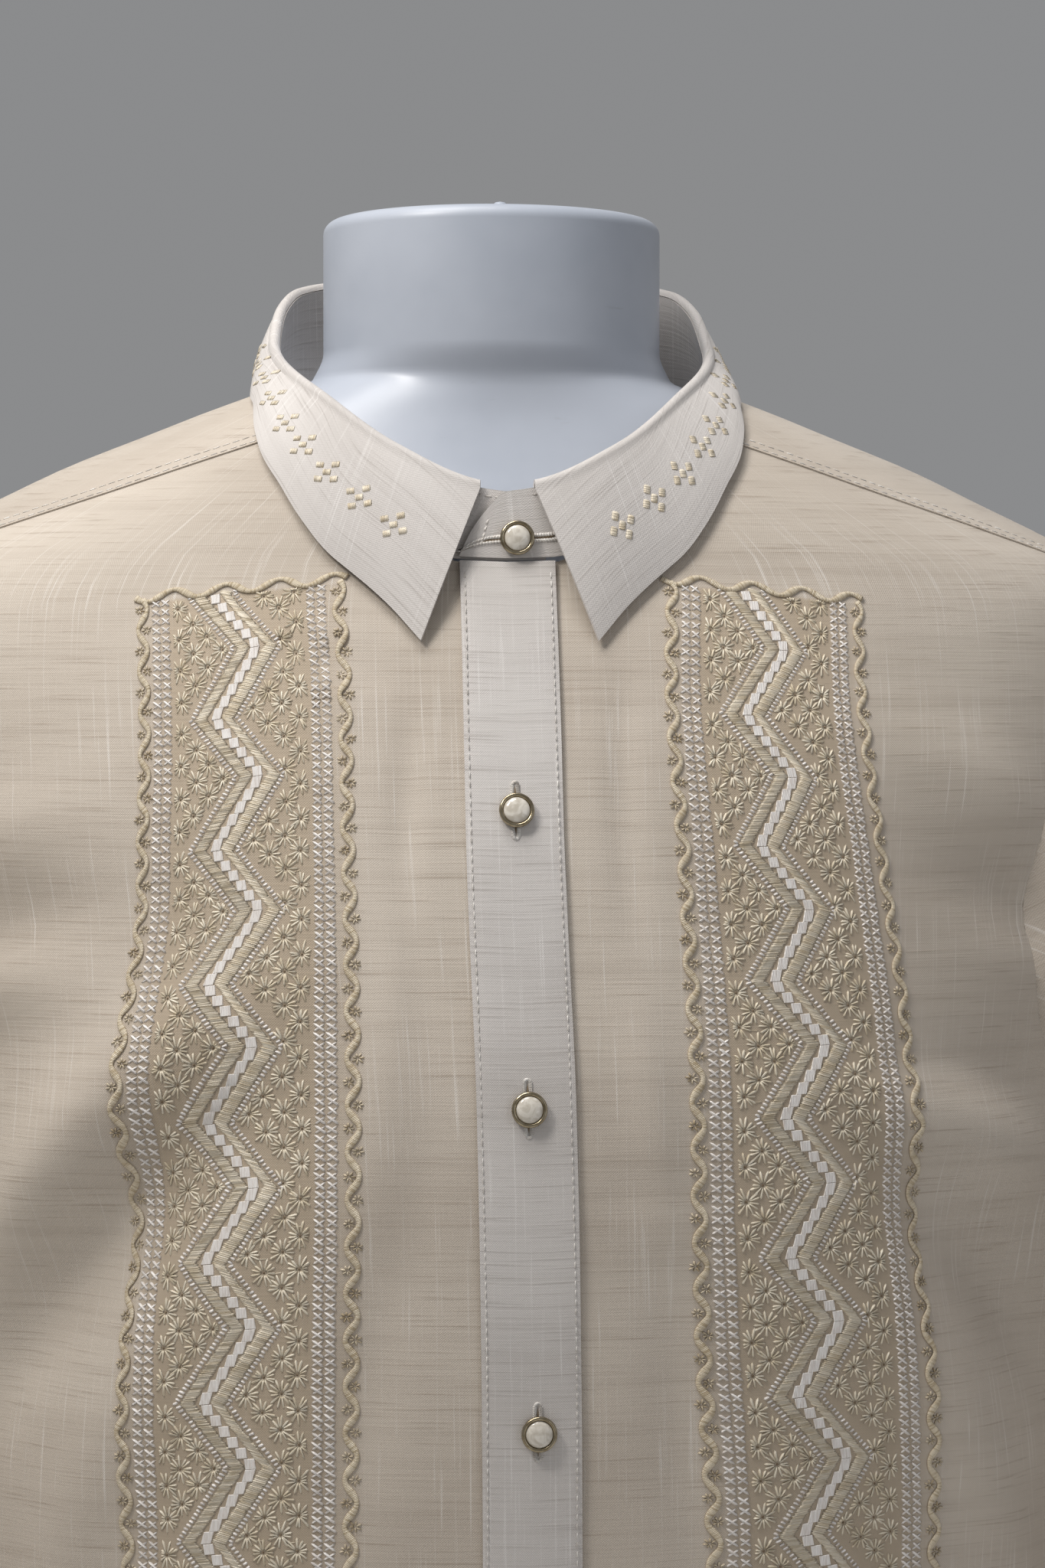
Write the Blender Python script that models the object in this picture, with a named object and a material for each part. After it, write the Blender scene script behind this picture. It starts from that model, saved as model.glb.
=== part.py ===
# Barong tagalog shirt on a limbless torso form.
# Metres, +Z up. The front of the shirt faces -Y and the wearer's left is +X.
# The origin is on the floor, under the middle of the whole.

import math

import bpy
import bmesh
import numpy as np
from mathutils import Matrix

# Cloth
WALL = 0.0013                 # one layer of pina-type cloth as a solid wall
DOUBLE_WALL = 0.0016          # placket, collar and cuff, two layers
SEAM_GAP = 0.0004             # air left between two sewn pieces

# The neck's axis stands this far behind the origin, which is under the middle of the whole
NECK_Y = 0.0140

# Heights
HEM = 0.038                   # lower edge of the body
VENT_TOP = 0.190              # the side seams are open below this
UNDERARM = 0.507              # lowest point of the armhole
VENT_OPEN = 0.006             # how far each edge of the vent stands back at the hem
SIDE_DEPTH = 0.13             # radius of the body at its side seams
NECK_PIT = 0.7350             # bottom of the neckline at the centre front
NECK_TOP = 0.863              # flat top of the form's neck block

# Front closure
PLACKET_HALF = 0.0165         # the placket is 33 mm wide
PLACKET_OUT = 0.0022          # its outer face above the fronts
UNDERLAP = 0.0140             # how far the wearer's right front reaches past the centre line
# Each shirt button: its height, and how far it sits beside the placket's middle line
BUTTONS = (
    (0.6495, 0.0006), (0.5515, 0.0008), (0.4450, 0.0022),
    (0.3410, 0.0012), (0.2380, 0.0010), (0.1340, 0.0012),
)
COLLAR_BUTTON_HEIGHT = 0.7435
COLLAR_BUTTON_TURN = 1.0      # degrees from the centre front towards the wearer's left
COLLAR_BUTTON_SEAT = 0.0007
BUTTON_RADIUS = 0.0060
BUTTON_SIDES = 14
BUTTON_SEAT = 0.0004          # air under a button
# A turned button, as shares of its radius: reach from its axis, rise above its seat
BUTTON_PROFILE = (
    (0.0, 0.0), (0.86, 0.0), (1.0, 0.13), (1.0, 0.30),
    (0.90, 0.40), (0.82, 0.30), (0.45, 0.52), (0.0, 0.60),
)

# The shirt's outline, one horizontal ellipse for each height. The front and the back half
# have their own depth, measured from the middle of the neck.
SHIRT_SECTIONS = (  # height, half_width, front_depth, back_depth
    (0.038, 0.232, 0.1350, 0.122),
    (0.150, 0.229, 0.1335, 0.118),
    (0.300, 0.225, 0.1365, 0.111),
    (0.446, 0.223, 0.1420, 0.109),
    (0.507, 0.222, 0.1415, 0.111),
    (0.551, 0.225, 0.1380, 0.113),
    (0.600, 0.230, 0.1285, 0.114),
    (0.651, 0.236, 0.1160, 0.112),
    (0.700, 0.240, 0.0985, 0.105),
    (0.720, 0.239, 0.0895, 0.100),
    (0.735, 0.229, 0.0825, 0.095),
    (0.748, 0.205, 0.0775, 0.091),
    (0.760, 0.180, 0.0720, 0.087),
    (0.772, 0.155, 0.0660, 0.083),
    (0.784, 0.125, 0.0610, 0.078),
    (0.792, 0.105, 0.0585, 0.0755),
    (0.800, 0.0835, 0.0570, 0.0725),
    (0.806, 0.0700, 0.0560, 0.0695),
)

# How far the centre front hangs towards the wearer's left
LEAN = (  # height, shift
    (0.038, 0.0050), (0.300, 0.0048), (0.446, 0.0040), (0.551, 0.0025), (0.651, 0.0), (0.850, 0.0),
)

# Soft folds of the body. An angle of 0 is the centre front and 90 the wearer's left side.
FOLDS = (  # angle, spread, depth, full_height, start_height
    (34.0, 7.0, -0.0035, 0.060, 0.52),
    (52.0, 8.0, 0.0050, 0.050, 0.50),
    (70.0, 7.0, -0.0050, 0.050, 0.46),
    (-30.0, 7.0, -0.0030, 0.060, 0.50),
    (-48.0, 8.0, 0.0050, 0.050, 0.53),
    (-68.0, 7.0, -0.0050, 0.050, 0.45),
    (118.0, 7.0, 0.0050, 0.050, 0.50),
    (137.0, 8.0, -0.0055, 0.050, 0.56),
    (158.0, 8.0, 0.0055, 0.050, 0.60),
    (180.0, 8.0, -0.0045, 0.050, 0.58),
    (204.0, 8.0, 0.0055, 0.050, 0.60),
    (225.0, 8.0, -0.0055, 0.050, 0.55),
    (243.0, 7.0, 0.0050, 0.050, 0.50),
)

# The seam where the collar stand is sewn on
NECKLINE = (  # angle, height
    (0.0, 0.7350), (4.5, 0.7358), (11.0, 0.7478), (20.6, 0.7690), (34.0, 0.7840),
    (60.0, 0.7955), (90.0, 0.8000), (130.0, 0.8030), (180.0, 0.8050),
)

# The armhole is an ellipse drawn in angle and height on the shirt's surface.
ARMHOLE_ANGLE = 90.0
ARMHOLE_FRONT_REACH = 38.0
ARMHOLE_BACK_REACH = 34.0
ARMHOLE_MIDDLE = 0.6207
ARMHOLE_HALF_HEIGHT = 0.1137
ARMHOLE_RADIUS = 0.085        # half its width along the cloth

# The yoke: its front seam lies ahead of the shoulder ridge, its back seam across the shoulders
YOKE_FRONT_TURN = 21.0        # place of the front seam on the armhole, in degrees from its top
YOKE_BACK_TURN = 52.0         # place of the back seam on the armhole
YOKE_BACK_HEIGHT = 0.700

# Steps of the panels. Neighbours share them, so that their edges run side by side.
BODY_STEPS = 9                # from the hem to the armpit
CENTRE_STEPS = 7              # from there up the centre front to the neck
NECK_ANGLES = (4.5, 8.0, 12.0, 17.0, 24.0, 34.0)   # along the front neckline to the yoke
FRONT_COLUMNS = 13
BACK_COLUMNS = 21
BACK_STEPS = 10               # up the back of the armhole
YOKE_ARM_STEPS = 6
YOKE_BACK_STEPS = 16
YOKE_ROWS = 7
COLLAR_STEP = 8.0             # degrees between two sections of the collar

# The collar's fold line
FOLD_HALF_WIDTH = 0.0785
FOLD_FRONT = 0.0800
FOLD_BACK = 0.0730
FOLD_LINE = (  # angle, height
    (0.0, 0.7600), (7.0, 0.7615), (28.0, 0.7745), (53.0, 0.7950), (80.0, 0.8115),
    (92.0, 0.8190), (105.0, 0.8320), (118.0, 0.8400), (140.0, 0.8450), (180.0, 0.8470),
)
STAND_WALL = 0.0014
STAND_LIFT = 0.0009           # the stand starts this far above the neckline
OVERLAP_STEP = 0.0021         # the buttoned end lies this far outside the other end
STAND_UNDER_END = 3.4         # angle where the lower end of the stand stops, past the centre
STAND_OVER_END = -364.2       # angle where the buttoned end stops, once round and past the centre
STAND_ROUND_ANGLE = 4.6       # length of the rounded corner of that end, as an angle
STAND_END_HEIGHT = 0.25       # height left at the tip of that end, as a share

# The outer edge of the turned-down collar, for each angle along the fold line
COLLAR_EDGE = (  # fold_angle, edge_angle, edge_height
    (6.6, 7.3, 0.7070),
    (20.0, 10.5, 0.7215),
    (35.0, 16.0, 0.7380),
    (50.0, 27.5, 0.7640),
    (65.0, 40.5, 0.7810),
    (80.0, 57.0, 0.7925),
    (100.0, 85.0, 0.7985),
    (130.0, 126.0, 0.7985),
    (180.0, 180.0, 0.7970),
)
COLLAR_CLEARANCE = 0.0028     # outer face of the collar's edge above the shirt
COLLAR_BELLY = 0.0030         # how far the collar bows out between fold and edge
# The roll over the stand's top, as steps out from the fold line and up, then the leaf's start
ROLL = ((-0.0010, 0.0026), (0.0012, 0.0024))
LEAF_START = (0.0034, -0.0004)
LEAF_STEPS = (0.0, 0.33, 0.67, 1.0)
OVERLAP_FROM = -300.0         # angle where the buttoned end starts to step out
OVERLAP_LENGTH = 34.0

# Sleeves. Below the armpit each height has an ellipse.
SLEEVE_SECTIONS = (  # height, middle_x, middle_y, half_width, half_depth
    (0.450, 0.2830, -0.004, 0.0470, 0.0770),
    (0.400, 0.2865, -0.006, 0.0460, 0.0735),
    (0.350, 0.2890, -0.009, 0.0445, 0.0695),
    (0.300, 0.2910, -0.012, 0.0430, 0.0650),
    (0.250, 0.2925, -0.015, 0.0410, 0.0600),
    (0.215, 0.2935, -0.018, 0.0385, 0.0550),
    (0.1905, 0.2940, -0.019, 0.0350, 0.0500),
)
SLEEVE_START_PULL = 0.85      # how far the cap carries on outwards before it falls
SLEEVE_END_PULL = 0.95
SLEEVE_TILT = -0.36           # fall of the cap where it leaves the shoulder
SLEEVE_INSET = 0.0010         # the sleeve starts this far inside the armhole's edge
SLEEVE_WAVES = 5
SLEEVE_WAVE_DEPTH = 0.0030
SLEEVE_TOP_WAVES = 0.25       # share of the waves left at the armpit
SLEEVE_CAP_ROWS = 8
SLEEVE_LOW_ROWS = 6
CUFF_TOP = 0.190
CUFF_BOTTOM = 0.126
CUFF_HALF_WIDTH = 0.0345
CUFF_HALF_DEPTH = 0.0495
CUFF_OVERLAP = 24.0           # degrees of overlap where the cuff buttons
CUFF_STEP = 0.0021
CUFF_OPENING = -118.0         # the cuff buttons at the back of its outer side
CUFF_STEP_START = 300.0       # degrees round the cuff where the overlap starts to step out
CUFF_STEP_LENGTH = 50.0       # and the degrees it takes
CUFF_TAPER = 0.0015           # how much narrower the cuff is at the wrist
CUFF_TURN_STEPS = 26
CUFF_BUTTON_INSET = 11.0      # degrees from the overlap's end to its button
CUFF_BUTTON_SEAT = 0.0006
CUFF_BUTTON_RADIUS = 0.0055

# The torso form inside
FORM_SECTIONS = (  # height, half_width, front_depth, back_depth
    (0.000, 0.150, 0.1080, 0.100),
    (0.060, 0.158, 0.1130, 0.106),
    (0.150, 0.163, 0.1140, 0.107),
    (0.250, 0.153, 0.1080, 0.096),
    (0.330, 0.147, 0.1080, 0.090),
    (0.420, 0.156, 0.1200, 0.094),
    (0.500, 0.170, 0.1340, 0.100),
    (0.560, 0.182, 0.1325, 0.105),
    (0.620, 0.193, 0.1195, 0.107),
    (0.670, 0.201, 0.1050, 0.104),
)
SHOULDER_START = 0.700        # above this the form carries the shirt
SHOULDER_DROP = 0.0019        # the form is the shirt's own surface, lowered by this
SHOULDER_INSET = 0.0024       # and drawn in by this
SHOULDER_REACH = 0.203        # the form's shoulders are cut off here
SHOULDER_ROUND = 0.030
NECK_HALF_WIDTH = 0.0617
NECK_HALF_DEPTH = 0.0580
NECK_ROOT = 0.799
NECK_BLEND = 0.016
NECK_EDGE = 0.005
FORM_SIDES = 32
EDGE_STEPS = (30.0, 60.0, 90.0)  # degrees round the neck block's top edge

CREAM = (0.82, 0.76, 0.68, 1.0)
WHITE_CLOTH = (0.86, 0.83, 0.79, 1.0)
FORM_WHITE = (0.86, 0.88, 0.90, 1.0)
PEARL = (0.78, 0.75, 0.70, 1.0)


def clear_scene():
    for item in list(bpy.data.objects):
        bpy.data.objects.remove(item, do_unlink=True)


def finish_of(name, colour, roughness, metallic=0.0):
    """A Principled material with the piece's colour, roughness and metallic value."""
    material = bpy.data.materials.new(name)
    material.use_nodes = True
    shader = material.node_tree.nodes["Principled BSDF"]
    shader.inputs["Base Color"].default_value = colour
    shader.inputs["Roughness"].default_value = roughness
    shader.inputs["Metallic"].default_value = metallic
    material.diffuse_color = colour
    return material


def smooth(at, known, values):
    """A smooth curve through (known, values), read at each place in at."""
    known = np.asarray(known, float)
    values = np.asarray(values, float)
    step = np.diff(known)
    rise = np.diff(values) / step
    slope = np.empty(len(known))
    slope[0] = rise[0]
    slope[-1] = rise[-1]
    before, after = rise[:-1], rise[1:]
    same_way = before * after > 0
    harmonic = 2.0 * before * after / np.where(same_way, before + after, 1.0)
    slope[1:-1] = np.where(same_way, harmonic, 0.0)
    at = np.clip(np.asarray(at, float), known[0], known[-1])
    piece = np.clip(np.searchsorted(known, at) - 1, 0, len(step) - 1)
    h = step[piece]
    t = (at - known[piece]) / h
    start = (1 + 2 * t) * (1 - t) ** 2 * values[piece] + t * (1 - t) ** 2 * h * slope[piece]
    end = t * t * (3 - 2 * t) * values[piece + 1] + t * t * (t - 1) * h * slope[piece + 1]
    return start + end


def column(table, number):
    return [row[number] for row in table]


def ease(value):
    """0 below 0, 1 above 1, with a soft start and end."""
    value = np.clip(value, 0.0, 1.0)
    return value * value * (3 - 2 * value)


def around(angle):
    """The angle from the centre front, between 0 and 180 degrees."""
    turn = np.mod(np.degrees(angle), 360.0)
    return np.where(turn > 180.0, 360.0 - turn, turn)


def folds(angle, height):
    """How far the soft folds push the cloth out at this place."""
    turn = np.degrees(angle)
    push = np.zeros(np.broadcast(angle, height).shape)
    for middle, spread, depth, full, start in FOLDS:
        away = (turn - middle + 180.0) % 360.0 - 180.0
        strength = ease((start - height) / (start - full))
        push = push + depth * np.exp(-(away / spread) ** 2) * strength
    return push


def shirt_point(angle, height):
    heights = column(SHIRT_SECTIONS, 0)
    half_width = smooth(height, heights, column(SHIRT_SECTIONS, 1))
    front = smooth(height, heights, column(SHIRT_SECTIONS, 2))
    back = smooth(height, heights, column(SHIRT_SECTIONS, 3))
    depth = np.where(np.cos(angle) > 0, front, back)
    push = folds(angle, height)
    lean = smooth(height, column(LEAN, 0), column(LEAN, 1)) * (0.5 + 0.5 * np.cos(angle))
    x = (half_width + push) * np.sin(angle) + lean
    y = NECK_Y - (depth + push) * np.cos(angle)
    return np.stack([x, y, height + 0 * x], axis=-1)


def on_shirt(angle, height, out=0.0):
    """A point of the shirt's outer surface, moved out along the surface's normal."""
    angle, height = np.broadcast_arrays(np.asarray(angle, float), np.asarray(height, float))
    small_turn, small_rise = 0.004, 0.0006
    across = shirt_point(angle + small_turn, height) - shirt_point(angle - small_turn, height)
    up = shirt_point(angle, height + small_rise) - shirt_point(angle, height - small_rise)
    normal = np.cross(across, up)
    normal /= np.maximum(np.linalg.norm(normal, axis=-1, keepdims=True), 1e-12)
    return shirt_point(angle, height) + normal * np.asarray(out)[..., None]


def angle_at(x, height):
    """The angle on the front where the surface passes a place x beside the centre line."""
    half_width = smooth(height, column(SHIRT_SECTIONS, 0), column(SHIRT_SECTIONS, 1))
    return np.arcsin(x / half_width)


def neckline_height(angle):
    return smooth(around(angle), column(NECKLINE, 0), column(NECKLINE, 1))


def armhole(turn, side, inset=0.0):
    """Angle and height on the armhole. A turn of 0 is its top, 90 its front, 180 the underarm."""
    turn = np.radians(turn)
    front = np.sin(turn) > 0
    reach = np.where(front, ARMHOLE_FRONT_REACH, ARMHOLE_BACK_REACH)
    width_scale = 1.0 - inset / ARMHOLE_RADIUS
    height_scale = 1.0 - inset / ARMHOLE_HALF_HEIGHT
    angle = ARMHOLE_ANGLE - reach * np.sin(turn) * width_scale
    height = ARMHOLE_MIDDLE + ARMHOLE_HALF_HEIGHT * np.cos(turn) * height_scale
    return np.radians(angle) * side, height


def inner_face(points, wall, closed=False):
    """The inner face of a wall: the outer points moved in along the surface's own normal."""
    if closed:
        ringed = np.concatenate([points[:, -1:], points, points[:, :1]], axis=1)
        across = (ringed[:, 2:] - ringed[:, :-2])
    else:
        across = np.gradient(points, axis=1)
    normal = np.cross(across, np.gradient(points, axis=0))
    normal /= np.linalg.norm(normal, axis=-1, keepdims=True)
    return points - normal * wall


def solid_wall(name, outer, inner, material, closed=False):
    """A closed wall between two sheets of points. Rows go up and columns anticlockwise seen
    from above, so that the outer faces look outwards. A closed wall is a tube."""
    rows, columns = outer.shape[:2]
    count = rows * columns
    faces = []
    for i in range(rows - 1):
        for j in range(columns if closed else columns - 1):
            k = (j + 1) % columns
            a, b = i * columns + j, i * columns + k
            c, d = b + columns, a + columns
            faces.append((a, b, c, d))
            faces.append((count + d, count + c, count + b, count + a))
    rim = [i for i in range(columns)]
    top = [(rows - 1) * columns + j for j in range(columns)]
    if closed:
        edges = [rim + rim[:1], (top + top[:1])[::-1]]
    else:
        right = [i * columns + columns - 1 for i in range(rows)]
        left = [i * columns for i in range(rows)]
        edges = [rim + right[1:] + top[::-1][1:] + left[::-1][1:]]
    for edge in edges:
        for a, b in zip(edge, edge[1:]):
            faces.append((b, a, count + a, count + b))
    points = np.concatenate([outer.reshape(-1, 3), inner.reshape(-1, 3)])
    mesh = bpy.data.meshes.new(name)
    mesh.from_pydata([tuple(p) for p in points], [], faces)
    piece = add_piece(name, mesh, material)
    mesh.set_sharp_from_angle(angle=math.radians(50))
    return piece


def add_piece(name, mesh, material):
    mesh.shade_smooth()
    mesh.materials.append(material)
    piece = bpy.data.objects.new(name, mesh)
    bpy.context.scene.collection.objects.link(piece)
    return piece


def shirt_panel(name, angle, height, material, out=0.0, wall=WALL):
    """A panel of cloth on the shirt's surface."""
    return solid_wall(name, on_shirt(angle, height, out), on_shirt(angle, height, out - wall), material)


def rows_between(inner, outer, columns):
    """Rows on the shirt from the inner ends to the outer ends, straight in angle and height."""
    share = np.linspace(0.0, 1.0, columns)
    angle = inner[0][:, None] + (outer[0] - inner[0])[:, None] * share
    height = inner[1][:, None] + (outer[1] - inner[1])[:, None] * share
    return angle, height


def side_edge(height, side, toward_front):
    """The angle of a side seam's edge, with the seam's gap and the vent below it."""
    open_vent = VENT_OPEN * ease((VENT_TOP - height) / (VENT_TOP - HEM))
    gap = (SEAM_GAP / 2 + open_vent) / SIDE_DEPTH
    return side * (math.pi / 2 - gap if toward_front else math.pi / 2 + gap)


def centre_heights(x):
    """Heights of the sections up the centre front, to the neckline above a place x."""
    top = neckline_height(angle_at(x, NECK_PIT)) - SEAM_GAP
    low = np.linspace(HEM, UNDERARM, BODY_STEPS + 1)
    return np.append(low, np.linspace(UNDERARM, float(top), CENTRE_STEPS + 1)[1:])


def make_front(name, side, edge_x, material):
    """One front, from its side seam and armhole to its edge under the placket."""
    low = np.linspace(HEM, UNDERARM, BODY_STEPS + 1)
    centre = centre_heights(edge_x)
    neck_angle = np.radians(NECK_ANGLES)
    inner_angle = np.concatenate([angle_at(edge_x, centre), neck_angle])
    inner_height = np.concatenate([centre, neckline_height(neck_angle) - SEAM_GAP])
    outer_angle, outer_height = armhole(front_turns()[1:], side)
    outer_angle = np.append(side_edge(low, side, True), outer_angle)
    outer_height = np.append(low, outer_height)
    inner_height[-1] -= SEAM_GAP
    outer_height[-1] -= SEAM_GAP
    inner, outer = (side * inner_angle, inner_height), (outer_angle, outer_height)
    if side < 0:
        inner, outer = outer, inner
    angle, height = rows_between(inner, outer, FRONT_COLUMNS)
    return shirt_panel(name, angle, height, material)


def front_turns():
    """Places on the armhole where the front is sewn, from the underarm up."""
    return np.linspace(180.0, YOKE_FRONT_TURN, CENTRE_STEPS + len(NECK_ANGLES) + 1)


def yoke_turns():
    return np.linspace(YOKE_FRONT_TURN, -YOKE_BACK_TURN, YOKE_ARM_STEPS + 1)


def back_turns():
    return np.linspace(180.0, 360.0 - YOKE_BACK_TURN, BACK_STEPS + 1)


def make_back(material):
    low = np.linspace(HEM, UNDERARM, BODY_STEPS + 1)
    share = np.linspace(0.0, 1.0, BACK_STEPS + 1)[1:]
    arm_angle, arm_height = armhole(back_turns()[1:], 1)
    lower_seam = SEAM_GAP * share
    side_angle = np.append(side_edge(low, 1, False), arm_angle)
    side_height = np.append(low, arm_height - lower_seam)
    middle = np.append(low, UNDERARM + (YOKE_BACK_HEIGHT - SEAM_GAP - UNDERARM) * share)
    across = np.linspace(-1.0, 1.0, BACK_COLUMNS)
    angle = math.pi + (math.pi - side_angle)[:, None] * across
    height = side_height[:, None] + (middle - side_height)[:, None] * (1.0 - across ** 2)
    return shirt_panel("back", angle, height, material)


def make_yoke(material):
    """One piece over both shoulders, from front seam to front seam round the back of the neck."""
    left_angle, left_height = armhole(yoke_turns(), 1)
    back_share = np.linspace(0.0, 1.0, YOKE_BACK_STEPS + 1)[1:-1]
    back_angle = left_angle[-1] + (2 * math.pi - 2 * left_angle[-1]) * back_share
    bow = 1.0 - (2 * back_share - 1.0) ** 2
    back_height = left_height[-1] + (YOKE_BACK_HEIGHT - left_height[-1]) * bow
    outer_angle = np.concatenate([left_angle, back_angle, 2 * math.pi - left_angle[::-1]])
    outer_height = np.concatenate([left_height, back_height, left_height[::-1]])
    neck_start = math.radians(NECK_ANGLES[-1])
    share = np.linspace(0.0, 1.0, len(outer_angle))
    inner_angle = neck_start + (2 * math.pi - 2 * neck_start) * share
    inner_height = neckline_height(inner_angle) - SEAM_GAP
    down = np.linspace(1.0, 0.0, YOKE_ROWS)[:, None]
    angle = inner_angle + (outer_angle - inner_angle) * down
    height = inner_height + (outer_height - inner_height) * down
    return shirt_panel("yoke", angle, height, material)


def make_placket(material):
    """The buttoned strip, which lies over the edges of both fronts from neck to hem."""
    across = np.linspace(-PLACKET_HALF, PLACKET_HALF, 5)
    height = np.stack([centre_heights(x) for x in np.abs(across)], axis=1)
    angle = angle_at(across, height)
    return shirt_panel("placket", angle, height, material, PLACKET_OUT, DOUBLE_WALL)


def fold_point(angle, out, up):
    """A place beside the collar's fold line: out from the neck, and up."""
    depth = np.where(np.cos(angle) > 0, FOLD_FRONT, FOLD_BACK)
    x = (FOLD_HALF_WIDTH + out) * np.sin(angle)
    y = NECK_Y - (depth + out) * np.cos(angle)
    z = smooth(around(angle), column(FOLD_LINE, 0), column(FOLD_LINE, 1)) + up
    return np.stack([x, y, z], axis=-1)


def overlap_out(angle):
    """The buttoned end of the stand steps out over the other end."""
    return OVERLAP_STEP * ease((OVERLAP_FROM - np.degrees(angle)) / OVERLAP_LENGTH)


def collar_turns(first, last):
    """Angles of the collar's sections. The stand and the fall share all but their ends."""
    shared = np.arange(-348.0, -11.0, COLLAR_STEP)
    return np.concatenate([first, shared, last])


def make_collar_stand(material):
    rounded = STAND_OVER_END + STAND_ROUND_ANGLE * np.array([0.0, 0.12, 0.35, 0.65, 1.0])
    first = np.append(rounded, -354.0)
    angle = np.radians(collar_turns(first, [-6.6, -2.0, STAND_UNDER_END]))
    out = overlap_out(angle)
    low = on_shirt(angle, neckline_height(angle), out)
    low[:, 2] += STAND_LIFT
    high = fold_point(angle, out, 0.0)
    from_end = np.clip((np.degrees(angle) - STAND_OVER_END) / STAND_ROUND_ANGLE, 0.0, 1.0)
    full = STAND_END_HEIGHT + (1 - STAND_END_HEIGHT) * np.sqrt(1.0 - (1.0 - from_end) ** 2)
    share = np.linspace(0.0, 1.0, 4)[:, None] * full
    points = low + (high - low) * share[..., None]
    return solid_wall("collar_stand", points, inner_face(points, STAND_WALL), material)


def make_collar_fall(material):
    """The turned-down collar: it rolls over the top of the stand and falls to its outer edge."""
    end = COLLAR_EDGE[0][0]
    turn = collar_turns([-360.0 + end], [-end])
    angle = np.radians(turn)
    folded = around(angle)
    edge_turn = smooth(folded, column(COLLAR_EDGE, 0), column(COLLAR_EDGE, 1))
    edge_height = smooth(folded, column(COLLAR_EDGE, 0), column(COLLAR_EDGE, 2))
    wearer_right = np.mod(turn, 360.0) > 180.0
    edge_angle = np.radians(np.where(wearer_right, -edge_turn, edge_turn))
    edge = on_shirt(edge_angle, edge_height, COLLAR_CLEARANCE)
    step = overlap_out(angle)
    roll = [fold_point(angle, step + out, up) for out, up in ROLL]
    start = fold_point(angle, step + LEAF_START[0], LEAF_START[1])
    outward = np.stack([np.sin(angle), -np.cos(angle), 0 * angle], axis=-1)
    belly = (start + edge) / 2 + outward * COLLAR_BELLY
    leaf = []
    for t in LEAF_STEPS:
        leaf.append(start * (1 - t) ** 2 + belly * 2 * t * (1 - t) + edge * t * t)
    points = np.stack((roll + leaf)[::-1])
    return solid_wall("collar_fall", points, inner_face(points, DOUBLE_WALL), material)


def sleeve_ring(height, turn, side, waves):
    """One horizontal ring of a sleeve, with soft upright folds."""
    order = np.argsort(column(SLEEVE_SECTIONS, 0))
    table = np.array(SLEEVE_SECTIONS)[order]
    middle_x, middle_y, half_width, half_depth = (
        smooth(height, table[:, 0], table[:, k]) for k in (1, 2, 3, 4))
    wave = waves * SLEEVE_WAVE_DEPTH * np.sin(SLEEVE_WAVES * turn + 3.0 * (height - 0.3) * side)
    x = side * (middle_x + (half_width + wave) * np.cos(turn))
    y = NECK_Y + middle_y - (half_depth + wave) * np.sin(turn)
    return np.stack([x, y, height + 0 * x], axis=-1)


def make_sleeve(name, side, material):
    """The cap runs from the armhole out over the shoulder and down, then rings go to the cuff."""
    turn = np.concatenate([yoke_turns()[:-1] + 360.0, front_turns()[:-1] + 360.0, back_turns()])
    turn = np.sort(np.mod(turn, 360.0))
    angle, height = armhole(turn, side, SLEEVE_INSET)
    start = on_shirt(angle, height)
    top = SLEEVE_SECTIONS[0][0]
    end = sleeve_ring(top, np.radians(turn), side, SLEEVE_TOP_WAVES)
    length = np.linalg.norm(end - start, axis=1)[:, None]
    leave = np.array([side * math.cos(SLEEVE_TILT), 0.0, math.sin(SLEEVE_TILT)])
    arrive = np.array([0.0, 0.0, -1.0])
    rings = []
    for t in np.linspace(0.0, 1.0, SLEEVE_CAP_ROWS):
        ring = (1 + 2 * t) * (1 - t) ** 2 * start + t * t * (3 - 2 * t) * end
        ring = ring + t * (1 - t) ** 2 * SLEEVE_START_PULL * length * leave
        ring = ring + t * t * (t - 1) * SLEEVE_END_PULL * length * arrive
        rings.append(ring)
    low = np.linspace(top, SLEEVE_SECTIONS[-1][0], SLEEVE_LOW_ROWS + 1)[1:]
    for z in low:
        grown = ease((top - z) / 0.12) * (1 - ease((0.23 - z) / 0.04))
        strength = SLEEVE_TOP_WAVES + (1 - SLEEVE_TOP_WAVES) * grown
        rings.append(sleeve_ring(z, np.radians(turn), side, strength))
    points = np.stack(rings)
    if side > 0:
        points = points[:, ::-1]
    points = points[::-1]
    return solid_wall(name, points, inner_face(points, WALL, closed=True), material, closed=True)


def cuff_point(turn, height, side, out):
    """A place on the cuff. A turn of 0 is its outermost side and 90 its front."""
    middle_x, middle_y = SLEEVE_SECTIONS[-1][1:3]
    taper = CUFF_TAPER * (CUFF_TOP - height) / (CUFF_TOP - CUFF_BOTTOM)
    x = side * (middle_x + (CUFF_HALF_WIDTH + out - taper) * math.cos(turn))
    y = NECK_Y + middle_y - (CUFF_HALF_DEPTH + out - taper) * math.sin(turn)
    return (x, y, height)


def make_cuff(name, side, material):
    turns = np.linspace(CUFF_OPENING, CUFF_OPENING + 360.0 + CUFF_OVERLAP, CUFF_TURN_STEPS)
    rows = []
    for height in np.linspace(CUFF_TOP - SEAM_GAP, CUFF_BOTTOM, 4):
        row = []
        for turn in turns:
            share = (turn - CUFF_OPENING - CUFF_STEP_START) / CUFF_STEP_LENGTH
            step = CUFF_STEP * float(ease(share))
            row.append(cuff_point(math.radians(turn), height, side, step))
        rows.append(row)
    points = np.array(rows)[::-1]
    if side > 0:
        points = points[:, ::-1]
    return solid_wall(name, points, inner_face(points, DOUBLE_WALL), material)


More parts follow.
